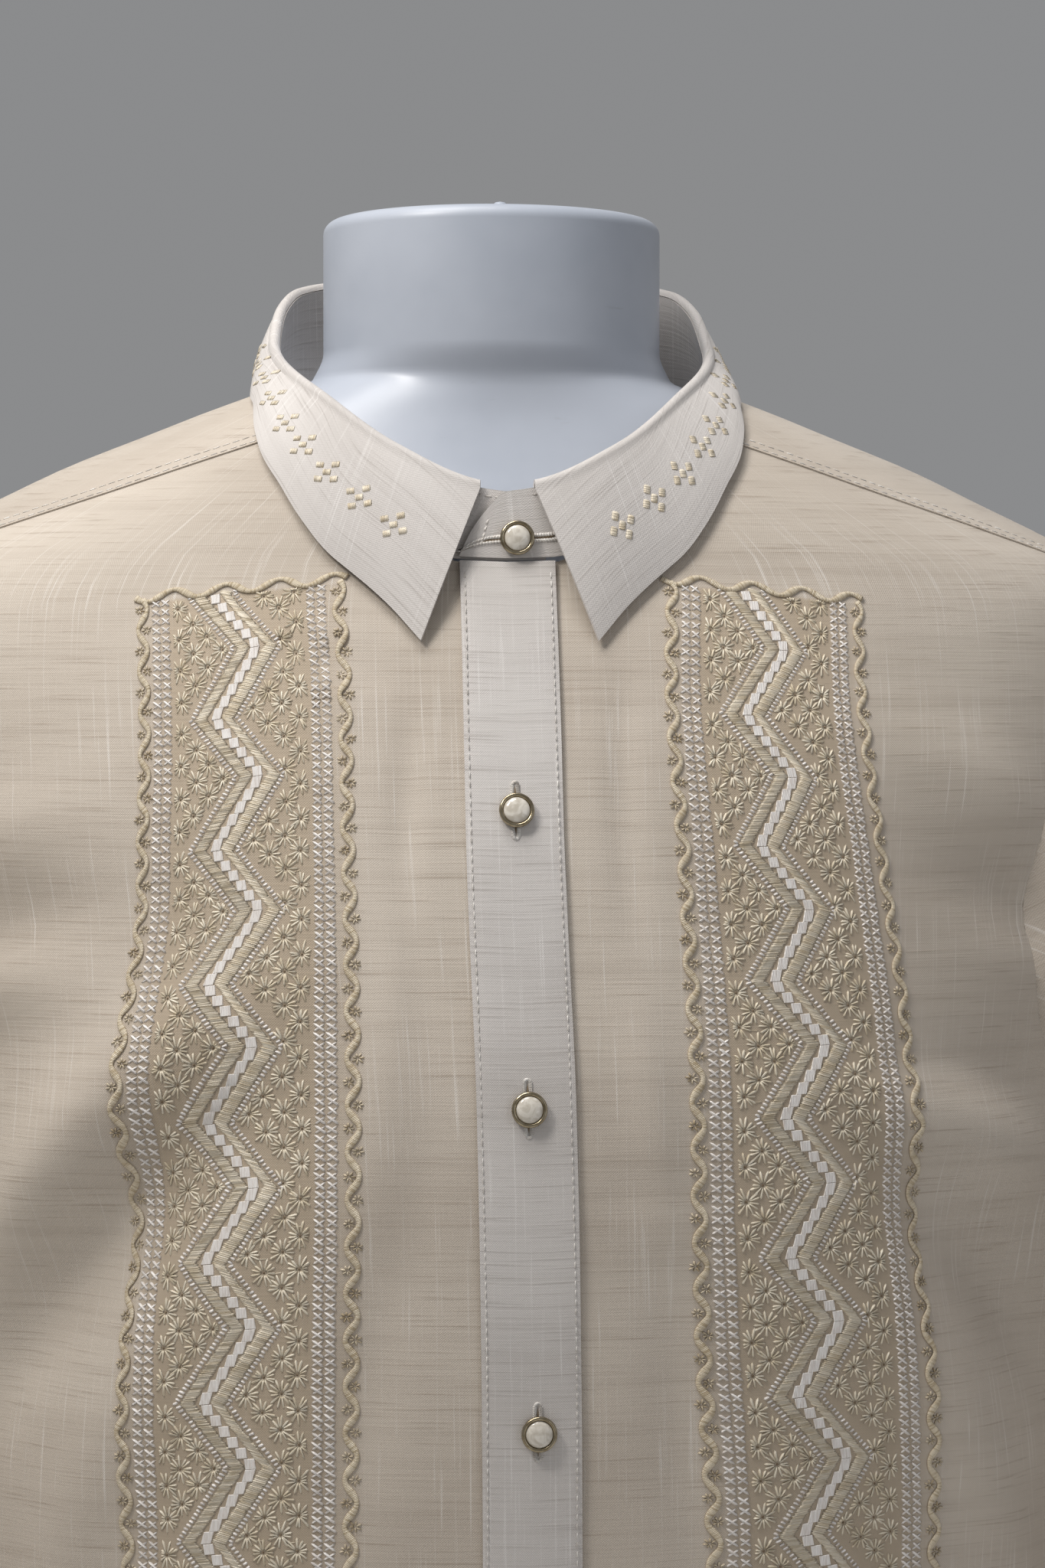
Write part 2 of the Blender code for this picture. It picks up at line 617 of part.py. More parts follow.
def make_button(name, centre, outward, radius, material):
    """A turned button: a raised rim round a domed cabochon, seated on the cloth."""
    mesh = bpy.data.meshes.new(name)
    shape = bmesh.new()
    rings = []
    for reach, rise in BUTTON_PROFILE[1:-1]:
        ring = []
        for k in range(BUTTON_SIDES):
            turn = 2 * math.pi * k / BUTTON_SIDES
            x, y = reach * radius * math.cos(turn), reach * radius * math.sin(turn)
            ring.append(shape.verts.new((x, y, rise * radius)))
        rings.append(ring)
    foot = shape.verts.new((0.0, 0.0, 0.0))
    crown = shape.verts.new((0.0, 0.0, BUTTON_PROFILE[-1][1] * radius))
    for k in range(BUTTON_SIDES):
        n = (k + 1) % BUTTON_SIDES
        shape.faces.new((foot, rings[0][n], rings[0][k]))
        shape.faces.new((crown, rings[-1][k], rings[-1][n]))
        for low, high in zip(rings, rings[1:]):
            shape.faces.new((low[k], low[n], high[n], high[k]))
    shape.to_mesh(mesh)
    shape.free()
    piece = add_piece(name, mesh, material)
    mesh.set_sharp_from_angle(angle=math.radians(35))
    outward = np.asarray(outward, float)
    outward /= np.linalg.norm(outward)
    side = np.cross((0.0, 0.0, 1.0), outward)
    side /= np.linalg.norm(side)
    up = np.cross(outward, side)
    piece.rotation_euler = Matrix(np.stack([side, up, outward], axis=1)).to_euler()
    piece.location = centre
    return piece


def surface_normal(angle, height):
    """The direction in which the shirt's surface faces."""
    step = on_shirt(angle, height, 0.001) - on_shirt(angle, height)
    return step / np.linalg.norm(step)


def make_buttons(material):
    seat = PLACKET_OUT + BUTTON_SEAT
    for number, (height, shift) in enumerate(BUTTONS, 1):
        angle = angle_at(shift, height)
        normal = surface_normal(angle, height)
        centre = on_shirt(angle, height) + normal * seat
        make_button("button_%d" % number, centre, normal, BUTTON_RADIUS, material)
    places = []
    for turn in (math.radians(COLLAR_BUTTON_TURN), math.radians(COLLAR_BUTTON_TURN + 1.0)):
        low = on_shirt(turn, float(neckline_height(turn)), OVERLAP_STEP) + (0, 0, STAND_LIFT)
        high = fold_point(np.array(turn), OVERLAP_STEP, 0.0)
        places.append(low + (high - low) * (COLLAR_BUTTON_HEIGHT - low[2]) / (high[2] - low[2]))
    centre = places[0]
    normal = np.cross(places[1] - places[0], high - low)
    normal = normal / np.linalg.norm(normal)
    make_button("button_collar", centre + normal * COLLAR_BUTTON_SEAT, normal, BUTTON_RADIUS, material)
    for side, name in ((1, "cuff_button_left"), (-1, "cuff_button_right")):
        turn = math.radians(CUFF_OPENING + 360.0 + CUFF_OVERLAP - CUFF_BUTTON_INSET)
        height = (CUFF_TOP + CUFF_BOTTOM) / 2
        seat_point = np.array(cuff_point(turn, height, side, CUFF_STEP + CUFF_BUTTON_SEAT))
        normal = np.array([side * math.cos(turn) * CUFF_HALF_DEPTH, -math.sin(turn) * CUFF_HALF_WIDTH, 0.0])
        normal /= np.linalg.norm(normal)
        make_button(name, seat_point, normal, CUFF_BUTTON_RADIUS, material)


def form_section(height):
    """Half width, front depth and back depth of the form at one height."""
    heights = column(FORM_SECTIONS, 0)
    torso = [float(smooth(height, heights, column(FORM_SECTIONS, k))) for k in (1, 2, 3)]
    shirt_heights = column(SHIRT_SECTIONS, 0)
    shoulder = []
    for k in (1, 2, 3):
        size = float(smooth(height + SHOULDER_DROP, shirt_heights, column(SHIRT_SECTIONS, k)))
        shoulder.append(size - SHOULDER_INSET)
    over = max(0.0, shoulder[0] - SHOULDER_REACH + SHOULDER_ROUND)
    shoulder[0] -= over * over / (over + SHOULDER_ROUND)
    into_shoulder = float(ease((height - FORM_SECTIONS[-1][0]) / (SHOULDER_START - FORM_SECTIONS[-1][0])))
    body = [t + (s - t) * into_shoulder for t, s in zip(torso, shoulder)]
    neck = (NECK_HALF_WIDTH, NECK_HALF_DEPTH, NECK_HALF_DEPTH)
    into_neck = float(ease((height - NECK_ROOT) / NECK_BLEND))
    return [b + (n - b) * into_neck for b, n in zip(body, neck)]


def make_form(material):
    """The torso form: closed rings from the flat base to the flat top of its neck block."""
    heights = list(np.linspace(0.0, SHOULDER_START, 11))
    heights += list(np.linspace(SHOULDER_START, NECK_ROOT, 11))[1:]
    heights += [NECK_ROOT + NECK_BLEND * k / 3 for k in (1, 2, 3)]
    heights += [NECK_TOP - NECK_EDGE]
    turn = np.linspace(0.0, 2 * math.pi, FORM_SIDES, endpoint=False)
    shape = bmesh.new()
    rings = []

    def ring(height, half_width, front, back):
        depth = np.where(np.cos(turn) > 0, front, back)
        xs, ys = half_width * np.sin(turn), NECK_Y - depth * np.cos(turn)
        rings.append([shape.verts.new((x, y, height)) for x, y in zip(xs, ys)])

    for height in heights:
        ring(height, *form_section(height))
    for corner in EDGE_STEPS:
        inward = NECK_EDGE * (1 - math.cos(math.radians(corner)))
        rise = NECK_EDGE * math.sin(math.radians(corner))
        sizes = [size - inward for size in form_section(NECK_TOP - NECK_EDGE)]
        ring(NECK_TOP - NECK_EDGE + rise, *sizes)
    for low, high in zip(rings, rings[1:]):
        for k in range(FORM_SIDES):
            n = (k + 1) % FORM_SIDES
            shape.faces.new((low[k], low[n], high[n], high[k]))
    shape.faces.new(rings[0][::-1])
    shape.faces.new(rings[-1])
    mesh = bpy.data.meshes.new("torso_form")
    shape.to_mesh(mesh)
    shape.free()
    piece = add_piece("torso_form", mesh, material)
    mesh.set_sharp_from_angle(angle=math.radians(40))
    return piece


def main():
    clear_scene()
    cloth = finish_of("pina cloth", CREAM, 0.75)
    layered = finish_of("layered cloth", WHITE_CLOTH, 0.72)
    plastic = finish_of("form plastic", FORM_WHITE, 0.35)
    pearl = finish_of("pearl button", PEARL, 0.25)
    make_form(plastic)
    make_front("front_left", 1, UNDERLAP + 0.0005, cloth)
    make_front("front_right", -1, -UNDERLAP, cloth)
    make_back(cloth)
    make_yoke(cloth)
    make_placket(layered)
    make_collar_stand(layered)
    make_collar_fall(layered)
    for side, word in ((1, "left"), (-1, "right")):
        make_sleeve("sleeve_" + word, side, cloth)
        make_cuff("cuff_" + word, side, layered)
    make_buttons(pearl)


main()
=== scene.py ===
# %% [markdown]
# # A barong tagalog on a torso form
# This is a sheer cream dress shirt with an embroidered band down each side of its front. It is
# worn by a plain white torso form. A frame of plain solids already holds every piece at its real
# place, so this lesson makes the finer shapes, the stitches and the finishes around that frame.

import math

import bpy
import numpy as np
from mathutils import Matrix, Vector


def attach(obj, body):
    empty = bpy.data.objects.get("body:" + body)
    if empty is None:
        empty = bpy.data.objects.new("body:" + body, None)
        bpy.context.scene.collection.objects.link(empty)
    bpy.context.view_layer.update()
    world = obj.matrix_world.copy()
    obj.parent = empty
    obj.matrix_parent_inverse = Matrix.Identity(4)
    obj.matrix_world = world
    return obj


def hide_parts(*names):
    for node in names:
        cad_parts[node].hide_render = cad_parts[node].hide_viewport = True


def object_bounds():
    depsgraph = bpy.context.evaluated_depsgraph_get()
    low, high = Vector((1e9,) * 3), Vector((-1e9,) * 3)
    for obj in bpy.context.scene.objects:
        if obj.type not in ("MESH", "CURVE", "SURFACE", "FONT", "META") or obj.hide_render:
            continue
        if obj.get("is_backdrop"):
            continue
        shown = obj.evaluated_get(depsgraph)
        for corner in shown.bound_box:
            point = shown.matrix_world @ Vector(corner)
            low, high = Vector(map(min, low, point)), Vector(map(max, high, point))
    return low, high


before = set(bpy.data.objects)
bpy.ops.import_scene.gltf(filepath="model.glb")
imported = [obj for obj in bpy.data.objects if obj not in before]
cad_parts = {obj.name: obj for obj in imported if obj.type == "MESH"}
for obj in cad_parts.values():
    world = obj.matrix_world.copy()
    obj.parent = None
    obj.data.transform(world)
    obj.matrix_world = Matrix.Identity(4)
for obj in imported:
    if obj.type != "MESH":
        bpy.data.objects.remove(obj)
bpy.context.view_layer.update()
print("nodes in the frame:", len(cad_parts))

# %% [markdown]
# ## Small helpers
# Colours are written as sRGB hex values, as a paint chart gives them, and Blender wants linear
# light, so one function turns them. Every material is a tree of nodes, so one function adds a
# node with its settings and its links.

# %% Colours and nodes
def linear(hex_colour):
    """A linear colour with full alpha from an sRGB hex value."""
    parts = [int(hex_colour[k:k + 2], 16) / 255 for k in (1, 3, 5)]
    parts = [p / 12.92 if p <= 0.04045 else ((p + 0.055) / 1.055) ** 2.4 for p in parts]
    return (*parts, 1.0)


def add_node(tree, kind, inputs=(), **settings):
    """Adds a node. inputs pairs a socket's name or number with a value or another node's output."""
    node = tree.nodes.new(kind)
    for name, value in settings.items():
        setattr(node, name, value)
    for name, value in dict(inputs).items():
        socket = node.inputs[name]
        if isinstance(value, bpy.types.NodeSocket):
            tree.links.new(value, socket)
        else:
            socket.default_value = value
    return node


def new_material(name, **sockets):
    """A material whose Principled shader has these values on its own sockets."""
    material = bpy.data.materials.new(name)
    material.use_nodes = True
    shader = material.node_tree.nodes["Principled BSDF"]
    for socket, value in sockets.items():
        shader.inputs[socket.replace("_", " ")].default_value = value
    return material, material.node_tree, shader


# %% [markdown]
# Shapes here come from tables with a row for each height or angle. A monotone cubic runs through
# the rows without overshooting between them, and an ease gives a soft start and a soft end.

# %% Smooth curves through tables
def smooth(at, known, values):
    """A smooth curve through (known, values), read at each place in at."""
    known = np.asarray(known, float)
    values = np.asarray(values, float)
    step = np.diff(known)
    rise = np.diff(values) / step
    slope = np.empty(len(known))
    slope[0] = rise[0]
    slope[-1] = rise[-1]
    before, after = rise[:-1], rise[1:]
    same_way = before * after > 0
    harmonic = 2.0 * before * after / np.where(same_way, before + after, 1.0)
    slope[1:-1] = np.where(same_way, harmonic, 0.0)
    at = np.clip(np.asarray(at, float), known[0], known[-1])
    piece = np.clip(np.searchsorted(known, at) - 1, 0, len(step) - 1)
    h = step[piece]
    t = (at - known[piece]) / h
    start = (1 + 2 * t) * (1 - t) ** 2 * values[piece] + t * (1 - t) ** 2 * h * slope[piece]
    end = t * t * (3 - 2 * t) * values[piece + 1] + t * t * (t - 1) * h * slope[piece + 1]
    return start + end


def column(table, number):
    """One column of a table."""
    return [row[number] for row in table]


def ease(value):
    """0 below 0, 1 above 1, with a soft start and end."""
    value = np.clip(value, 0.0, 1.0)
    return value * value * (3 - 2 * value)


# %% [markdown]
# Meshes are made from arrays of points. Each closed piece is checked for its signed volume, so
# that its faces point out whichever way its points were laid. A vector attribute named thread
# gives each point its place on the flat cloth in metres, and the weave is drawn from it, so that
# it follows the cloth round every fold without any unwrapping.

# %% Meshes from arrays
def outward(points, faces):
    """The same faces, turned over if they point into the piece."""
    volume = 0.0
    by_size = {}
    for face in faces:
        by_size.setdefault(len(face), []).append(face)
    for size, group in by_size.items():
        corners = points[np.array(group)]
        for k in range(1, size - 1):
            cross = np.cross(corners[:, k], corners[:, k + 1])
            volume += np.einsum("ij,ij->", corners[:, 0], cross)
    return faces if volume > 0 else [face[::-1] for face in faces]


def make_piece(name, points, faces, material, thread=None, band=None, sharp=None):
    """A mesh object at the origin, riding on the root, with its finish."""
    points = np.asarray(points, float).reshape(-1, 3)
    mesh = bpy.data.meshes.new(name)
    mesh.from_pydata(points.tolist(), [], outward(points, [tuple(f) for f in faces]))
    mesh.shade_smooth()
    if sharp is not None:
        mesh.set_sharp_from_angle(angle=math.radians(sharp))
    for label, values in (("thread", thread), ("band", band)):
        if values is not None:
            field = mesh.attributes.new(label, "FLOAT_VECTOR", "POINT")
            field.data.foreach_set("vector", np.asarray(values, np.float32).ravel())
    mesh.materials.append(material)
    piece = bpy.data.objects.new(name, mesh)
    bpy.context.scene.collection.objects.link(piece)
    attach(piece, "root")
    return piece


def grid_faces(rows, columns, start=0, closed=False):
    """Quads of a grid of points, row after row. A closed grid joins its last column to its first."""
    faces = []
    for i in range(rows - 1):
        for j in range(columns if closed else columns - 1):
            k = (j + 1) % columns
            a, b = start + i * columns + j, start + i * columns + k
            faces.append((a, b, b + columns, a + columns))
    return faces


def shell_faces(rows, columns):
    """Faces of a thin wall: an outer grid, an inner grid after it, and the rim between them."""
    count = rows * columns
    faces = grid_faces(rows, columns)
    faces += [tuple(count + k for k in face[::-1]) for face in faces]
    top = [(rows - 1) * columns + j for j in range(columns)]
    right = [i * columns + columns - 1 for i in range(rows)]
    left = [i * columns for i in range(rows)]
    rim = list(range(columns)) + right[1:] + top[::-1][1:] + left[::-1][1:]
    faces += [(b, a, count + a, count + b) for a, b in zip(rim, rim[1:])]
    return faces


def normals_of(points):
    """Unit normals of a grid of points."""
    normal = np.cross(np.gradient(points, axis=1), np.gradient(points, axis=0))
    return normal / np.maximum(np.linalg.norm(normal, axis=-1, keepdims=True), 1e-12)


def cloth_shell(name, points, material, thickness, thread, band=None):
    """A thin wall of cloth whose outer face is a grid of points."""
    rows, columns = points.shape[:2]
    inner = points - normals_of(points) * thickness
    both = np.concatenate([points.reshape(-1, 3), inner.reshape(-1, 3)])
    thread = np.tile(thread.reshape(-1, 3), (2, 1))
    band = None if band is None else np.tile(band.reshape(-1, 3), (2, 1))
    return make_piece(name, both, shell_faces(rows, columns), material, thread, band, sharp=50)


# %% [markdown]
# ## Camera, floor and light
# The photograph is a close view of the collar and the chest from breast height, a touch from the
# wearer's right. A long lens stands about 1.4 m away. The numbers come from fitting the buttons,
# the collar's tips and the neck block to their places in the photograph.

# %% Camera
NECK_Y = 0.0140                # the neck's axis stands this far behind the origin
IMAGE_LONG_SIDE = 2048         # pixels
FOCAL_PIXELS = 4882.0          # focal length in pixels of that image
SENSOR = 36.0                  # millimetres on the long side
CAMERA_AZIMUTH = math.radians(-3.743)
CAMERA_DISTANCE = 1.3756
CAMERA_HEIGHT = 0.6821
AIM_RIGHT = 0.01137            # the picture's middle lies this far right of the neck's axis
AIM_HEIGHT = 0.65725

lens = bpy.data.cameras.new("camera")
lens.sensor_width = SENSOR
lens.lens = FOCAL_PIXELS / IMAGE_LONG_SIDE * SENSOR
camera = bpy.data.objects.new("camera", lens)
bpy.context.scene.collection.objects.link(camera)
turn_x, turn_y = math.sin(CAMERA_AZIMUTH), math.cos(CAMERA_AZIMUTH)
camera_place = Vector((CAMERA_DISTANCE * turn_x, NECK_Y - CAMERA_DISTANCE * turn_y, CAMERA_HEIGHT))
aim = Vector((AIM_RIGHT * turn_y, NECK_Y + AIM_RIGHT * turn_x, AIM_HEIGHT))
camera.location = camera_place
camera.rotation_euler = (aim - camera_place).to_track_quat("-Z", "Y").to_euler()
bpy.context.scene.camera = camera
print("lens", round(lens.lens, 1), "mm")

# %% [markdown]
# The floor is a pale studio floor. A small key light from the picture's upper left draws the
# folds, and a soft light from above brightens the shoulders. A weak fill from the right and a pale
# surrounding light keep the shade open, so that the cloth falls off darker towards the waist.

# %% Floor
floor_paint, tree, shader = new_material("matte studio floor paint", Roughness=0.8)
speck = add_node(tree, "ShaderNodeTexNoise", {"Scale": 35.0, "Detail": 3.0})
tone = add_node(tree, "ShaderNodeMix", {"Factor": speck.outputs["Fac"]}, data_type="RGBA")
tone.inputs["A"].default_value = linear("#D9D7D3")
tone.inputs["B"].default_value = linear("#E2E0DC")
tree.links.new(tone.outputs["Result"], shader.inputs["Base Color"])
FLOOR_HALF = 14.0
floor_mesh = bpy.data.meshes.new("floor")
corners = [(-FLOOR_HALF, -FLOOR_HALF, 0), (FLOOR_HALF, -FLOOR_HALF, 0),
           (FLOOR_HALF, FLOOR_HALF, 0), (-FLOOR_HALF, FLOOR_HALF, 0)]
floor_mesh.from_pydata(corners, [], [(0, 1, 2, 3)])
floor_mesh.materials.append(floor_paint)
floor = bpy.data.objects.new("floor", floor_mesh)
bpy.context.scene.collection.objects.link(floor)
floor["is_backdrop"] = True

# %% Lights
LIGHTS = (  # name, place, aim, size, watts, colour
    ("key", (-0.75, -0.62, 1.68), (-0.05, 0.0, 0.72), 0.32, 9.5, "#FFFBF6"),
    ("top", (-0.30, -0.25, 1.95), (0.0, 0.0, 0.70), 0.60, 11.5, "#FFFDFB"),
    ("fill", (1.30, -1.70, 0.90), (0.0, 0.0, 0.60), 1.10, 3.0, "#F0F4FF"),
)
for name, place, target, size, watts, colour in LIGHTS:
    lamp = bpy.data.lights.new(name, "AREA")
    lamp.size = size
    lamp.energy = watts
    lamp.color = linear(colour)[:3]
    light = bpy.data.objects.new(name, lamp)
    light.location = place
    way = Vector(target) - Vector(place)
    light.rotation_euler = way.to_track_quat("-Z", "Y").to_euler()
    bpy.context.scene.collection.objects.link(light)

world = bpy.data.worlds.new("studio")
world.use_nodes = True
world.node_tree.nodes["Background"].inputs["Color"].default_value = linear("#DCDDDF")
world.node_tree.nodes["Background"].inputs["Strength"].default_value = 0.36
bpy.context.scene.world = world
bpy.context.scene.view_settings.view_transform = "Standard"

# %% [markdown]
# ## The shirt's surface
# A body like this hangs from the shoulders as one surface, and the fronts, the back and the yoke
# are cut from it. Each height is an ellipse with its own front and back depth. The same tables
# shape the frame's solids, so the fine cloth lies where they are. A point is given by its angle,
# 0 at the centre front and 90 at the wearer's left side, and by its height.

# %% The surface in sections
HEM = 0.038
VENT_TOP = 0.190
UNDERARM = 0.507
NECK_PIT = 0.7350
NECK_TOP = 0.863
SHIRT_SECTIONS = (  # height, half_width, front_depth, back_depth
    (0.038, 0.232, 0.1350, 0.122), (0.150, 0.229, 0.1335, 0.118), (0.300, 0.225, 0.1365, 0.111),
    (0.446, 0.223, 0.1420, 0.109), (0.507, 0.222, 0.1415, 0.111), (0.551, 0.225, 0.1380, 0.113),
    (0.600, 0.230, 0.1285, 0.114), (0.651, 0.236, 0.1160, 0.112), (0.700, 0.240, 0.0985, 0.105),
    (0.720, 0.239, 0.0895, 0.100), (0.735, 0.229, 0.0825, 0.095), (0.748, 0.205, 0.0775, 0.091),
    (0.760, 0.180, 0.0720, 0.087), (0.772, 0.155, 0.0660, 0.083), (0.784, 0.125, 0.0610, 0.078),
    (0.792, 0.105, 0.0585, 0.0755), (0.800, 0.0835, 0.0570, 0.0725), (0.806, 0.0700, 0.0560, 0.0695),
)
LEAN = (  # height, shift of the centre front towards the wearer's left
    (0.038, 0.0050), (0.300, 0.0048), (0.446, 0.0040), (0.551, 0.0025), (0.651, 0.0), (0.850, 0.0),
)
FOLDS = (  # angle, spread, depth, full_height, start_height
    (34.0, 7.0, -0.0035, 0.060, 0.52), (52.0, 8.0, 0.0050, 0.050, 0.50),
    (70.0, 7.0, -0.0050, 0.050, 0.46), (-30.0, 7.0, -0.0030, 0.060, 0.50),
    (-48.0, 8.0, 0.0050, 0.050, 0.53), (-68.0, 7.0, -0.0050, 0.050, 0.45),
    (118.0, 7.0, 0.0050, 0.050, 0.50), (137.0, 8.0, -0.0055, 0.050, 0.56),
    (158.0, 8.0, 0.0055, 0.050, 0.60), (180.0, 8.0, -0.0045, 0.050, 0.58),
    (204.0, 8.0, 0.0055, 0.050, 0.60), (225.0, 8.0, -0.0055, 0.050, 0.55),
    (243.0, 7.0, 0.0050, 0.050, 0.50),
)
NECKLINE = (  # angle, height
    (0.0, 0.7350), (4.5, 0.7358), (11.0, 0.7478), (20.6, 0.7690), (34.0, 0.7840),
    (60.0, 0.7955), (90.0, 0.8000), (130.0, 0.8030), (180.0, 0.8050),
)


def around(angle):
    """The angle from the centre front, between 0 and 180 degrees."""
    turn = np.mod(np.degrees(angle), 360.0)
    return np.where(turn > 180.0, 360.0 - turn, turn)


def folds(angle, height):
    """How far the soft folds push the cloth out at this place."""
    turn = np.degrees(angle)
    push = np.zeros(np.broadcast(angle, height).shape)
    for middle, spread, depth, full, start in FOLDS:
        away = (turn - middle + 180.0) % 360.0 - 180.0
        strength = ease((start - height) / (start - full))
        push = push + depth * np.exp(-(away / spread) ** 2) * strength
    return push


def shirt_point(angle, height):
    """A point of the shirt's smooth surface."""
    heights = column(SHIRT_SECTIONS, 0)
    half_width = smooth(height, heights, column(SHIRT_SECTIONS, 1))
    front = smooth(height, heights, column(SHIRT_SECTIONS, 2))
    back = smooth(height, heights, column(SHIRT_SECTIONS, 3))
    depth = np.where(np.cos(angle) > 0, front, back)
    push = folds(angle, height)
    lean = smooth(height, column(LEAN, 0), column(LEAN, 1)) * (0.5 + 0.5 * np.cos(angle))
    x = (half_width + push) * np.sin(angle) + lean
    y = NECK_Y - (depth + push) * np.cos(angle)
    return np.stack([x, y, height + 0 * x], axis=-1)


def neckline_height(angle):
    """The height of the neck seam."""
    return smooth(around(angle), column(NECKLINE, 0), column(NECKLINE, 1))


# %% [markdown]
# Cloth that hangs from shoulders is never even. Each crease below is one soft ridge or trough,
# placed from the photograph: drag lines that run from the armhole to the chest, a broad
# fold that falls across the wearer's right side, small pulls under the collar's tips and long
# upright folds further down. The back gets similar ones, which the photograph doesn't show.

# %% Creases placed one by one
CREASES = (  # angle, height, half_length, half_width, lie, depth: metres, and degrees from level
    (-50.0, 0.640, 0.060, 0.0130, 16.0, 0.0022),
    (-46.0, 0.612, 0.055, 0.0100, 12.0, -0.0018),
    (-52.0, 0.588, 0.060, 0.0120, 6.0, 0.0018),
    (-42.0, 0.540, 0.095, 0.0210, 40.0, 0.0070),
    (-44.0, 0.492, 0.095, 0.0200, 42.0, -0.0065),
    (-58.0, 0.560, 0.050, 0.0120, 28.0, -0.0020),
    (-40.0, 0.430, 0.070, 0.0200, 62.0, 0.0030),
    (-14.0, 0.708, 0.024, 0.0040, -10.0, 0.0007),
    (-13.0, 0.699, 0.030, 0.0045, -8.0, -0.0007),
    (-12.0, 0.688, 0.026, 0.0050, -6.0, 0.0006),
    (-9.0, 0.640, 0.060, 0.0060, 88.0, -0.0012),
    (-12.0, 0.560, 0.080, 0.0090, 84.0, 0.0012),
    (-15.0, 0.450, 0.090, 0.0120, 80.0, -0.0016),
    (47.0, 0.655, 0.075, 0.0160, -24.0, 0.0034),
    (48.0, 0.618, 0.060, 0.0110, -18.0, -0.0018),
    (54.0, 0.596, 0.055, 0.0120, -8.0, 0.0018),
    (47.0, 0.560, 0.060, 0.0100, -12.0, -0.0016),
    (48.0, 0.535, 0.075, 0.0150, -20.0, 0.0036),
    (50.0, 0.480, 0.080, 0.0190, -40.0, -0.0050),
    (46.0, 0.420, 0.080, 0.0170, -60.0, 0.0030),
    (9.0, 0.650, 0.070, 0.0060, 92.0, -0.0010),
    (11.0, 0.545, 0.060, 0.0080, 97.0, 0.0012),
    (10.0, 0.525, 0.024, 0.0050, -5.0, -0.0008),
    (13.0, 0.440, 0.080, 0.0100, 95.0, -0.0014),
    (128.0, 0.610, 0.090, 0.0160, 30.0, 0.0030),
    (-130.0, 0.600, 0.095, 0.0170, -28.0, 0.0028),
    (140.0, 0.560, 0.090, 0.0150, 24.0, -0.0026),
    (-142.0, 0.545, 0.080, 0.0150, -32.0, -0.0028),
    (165.0, 0.640, 0.070, 0.0130, 75.0, 0.0020),
    (-166.0, 0.630, 0.075, 0.0140, -78.0, 0.0022),
    (152.0, 0.470, 0.110, 0.0170, 82.0, -0.0028),
    (-150.0, 0.450, 0.100, 0.0160, -84.0, -0.0026),
    (176.0, 0.400, 0.120, 0.0180, 88.0, 0.0026),
    (40.0, 0.300, 0.110, 0.0160, -80.0, -0.0030),
    (-38.0, 0.290, 0.120, 0.0160, 82.0, 0.0030),
    (62.0, 0.250, 0.100, 0.0160, -84.0, 0.0032),
    (-60.0, 0.230, 0.100, 0.0150, 86.0, -0.0030),
)
CREASE_GAIN = 1.6              # all of them, deepened together
FORM_CONTACT = 0.680           # above this the cloth rests on the form, so troughs are shallow


def creases(angle, height):
    """How far the creases push the cloth out at this place."""
    push = np.zeros(np.broadcast(angle, height).shape)
    turn = np.degrees(angle)
    half_width = smooth(height, column(SHIRT_SECTIONS, 0), column(SHIRT_SECTIONS, 1))
    for middle, level, half_length, spread, lie, depth in CREASES:
        away = np.radians((turn - middle + 180.0) % 360.0 - 180.0) * half_width
        rise = height - level
        lean = math.radians(lie)
        along = away * math.cos(lean) + rise * math.sin(lean)
        across = -away * math.sin(lean) + rise * math.cos(lean)
        across = across + 0.10 * along * along / half_length
        fade = np.exp(-(along / half_length) ** 2 * 1.6)
        push = push + CREASE_GAIN * depth * fade * np.exp(-(across / spread) ** 2)
    resting = ease((height - FORM_CONTACT) / 0.03)
    push = np.where(push < 0, push * (1 - 0.75 * resting), push * (1 - 0.4 * resting))
    middle_band = ease((np.abs(turn) - 5.0) / 4.0)
    return push * np.where(np.abs((turn + 180) % 360 - 180) < 90, middle_band, 1.0)


def on_shirt(angle, height, out=0.0):
    """A point of the shirt's outer surface, moved out along the surface's normal."""
    angle, height = np.broadcast_arrays(np.asarray(angle, float), np.asarray(height, float))
    small_turn, small_rise = 0.004, 0.0006
    across = shirt_point(angle + small_turn, height) - shirt_point(angle - small_turn, height)
    up = shirt_point(angle, height + small_rise) - shirt_point(angle, height - small_rise)
    normal = np.cross(across, up)
    normal /= np.maximum(np.linalg.norm(normal, axis=-1, keepdims=True), 1e-12)
    return shirt_point(angle, height) + normal * np.asarray(out)[..., None]


def on_cloth(angle, height, out=0.0):
    """A point on the creased cloth, moved out by a distance."""
    return on_shirt(angle, height, creases(angle, height) + out)


# %% [markdown]
# ## Sheer cloth
# Pina and jusi cloth are plain weaves of long leaf or silk fibres, knotted end to end. The yarn
# is uneven, so the cloth has slubs: thin dark streaks along the weft and pale ones along the warp.
# It is crisp and thin, lets some light through and has a faint silky sheen. A real yarn is about
# 0.3 mm thick, which is under a pixel here, so the weave is drawn 0.8 mm apart.

# %% Woven cloth
YARN_SPACING = 0.0008


def thread_noise(tree, thread, along_u, along_v, detail=3.0):
    """Noise drawn out along the yarns. The two numbers are its cells per metre."""
    place = add_node(tree, "ShaderNodeMapping", {"Vector": thread, "Scale": (along_u, along_v, 1.0)})
    inputs = {"Vector": place.outputs["Vector"], "Scale": 1.0, "Detail": detail, "Roughness": 0.55}
    return add_node(tree, "ShaderNodeTexNoise", inputs).outputs["Fac"]


def ranged(tree, value, low, high, to_low=0.0, to_high=1.0):
    """Value as a soft step from low to high."""
    inputs = {"Value": value, "From Min": low, "From Max": high, "To Min": to_low, "To Max": to_high}
    node = add_node(tree, "ShaderNodeMapRange", inputs, interpolation_type="SMOOTHSTEP")
    return node.outputs["Result"]


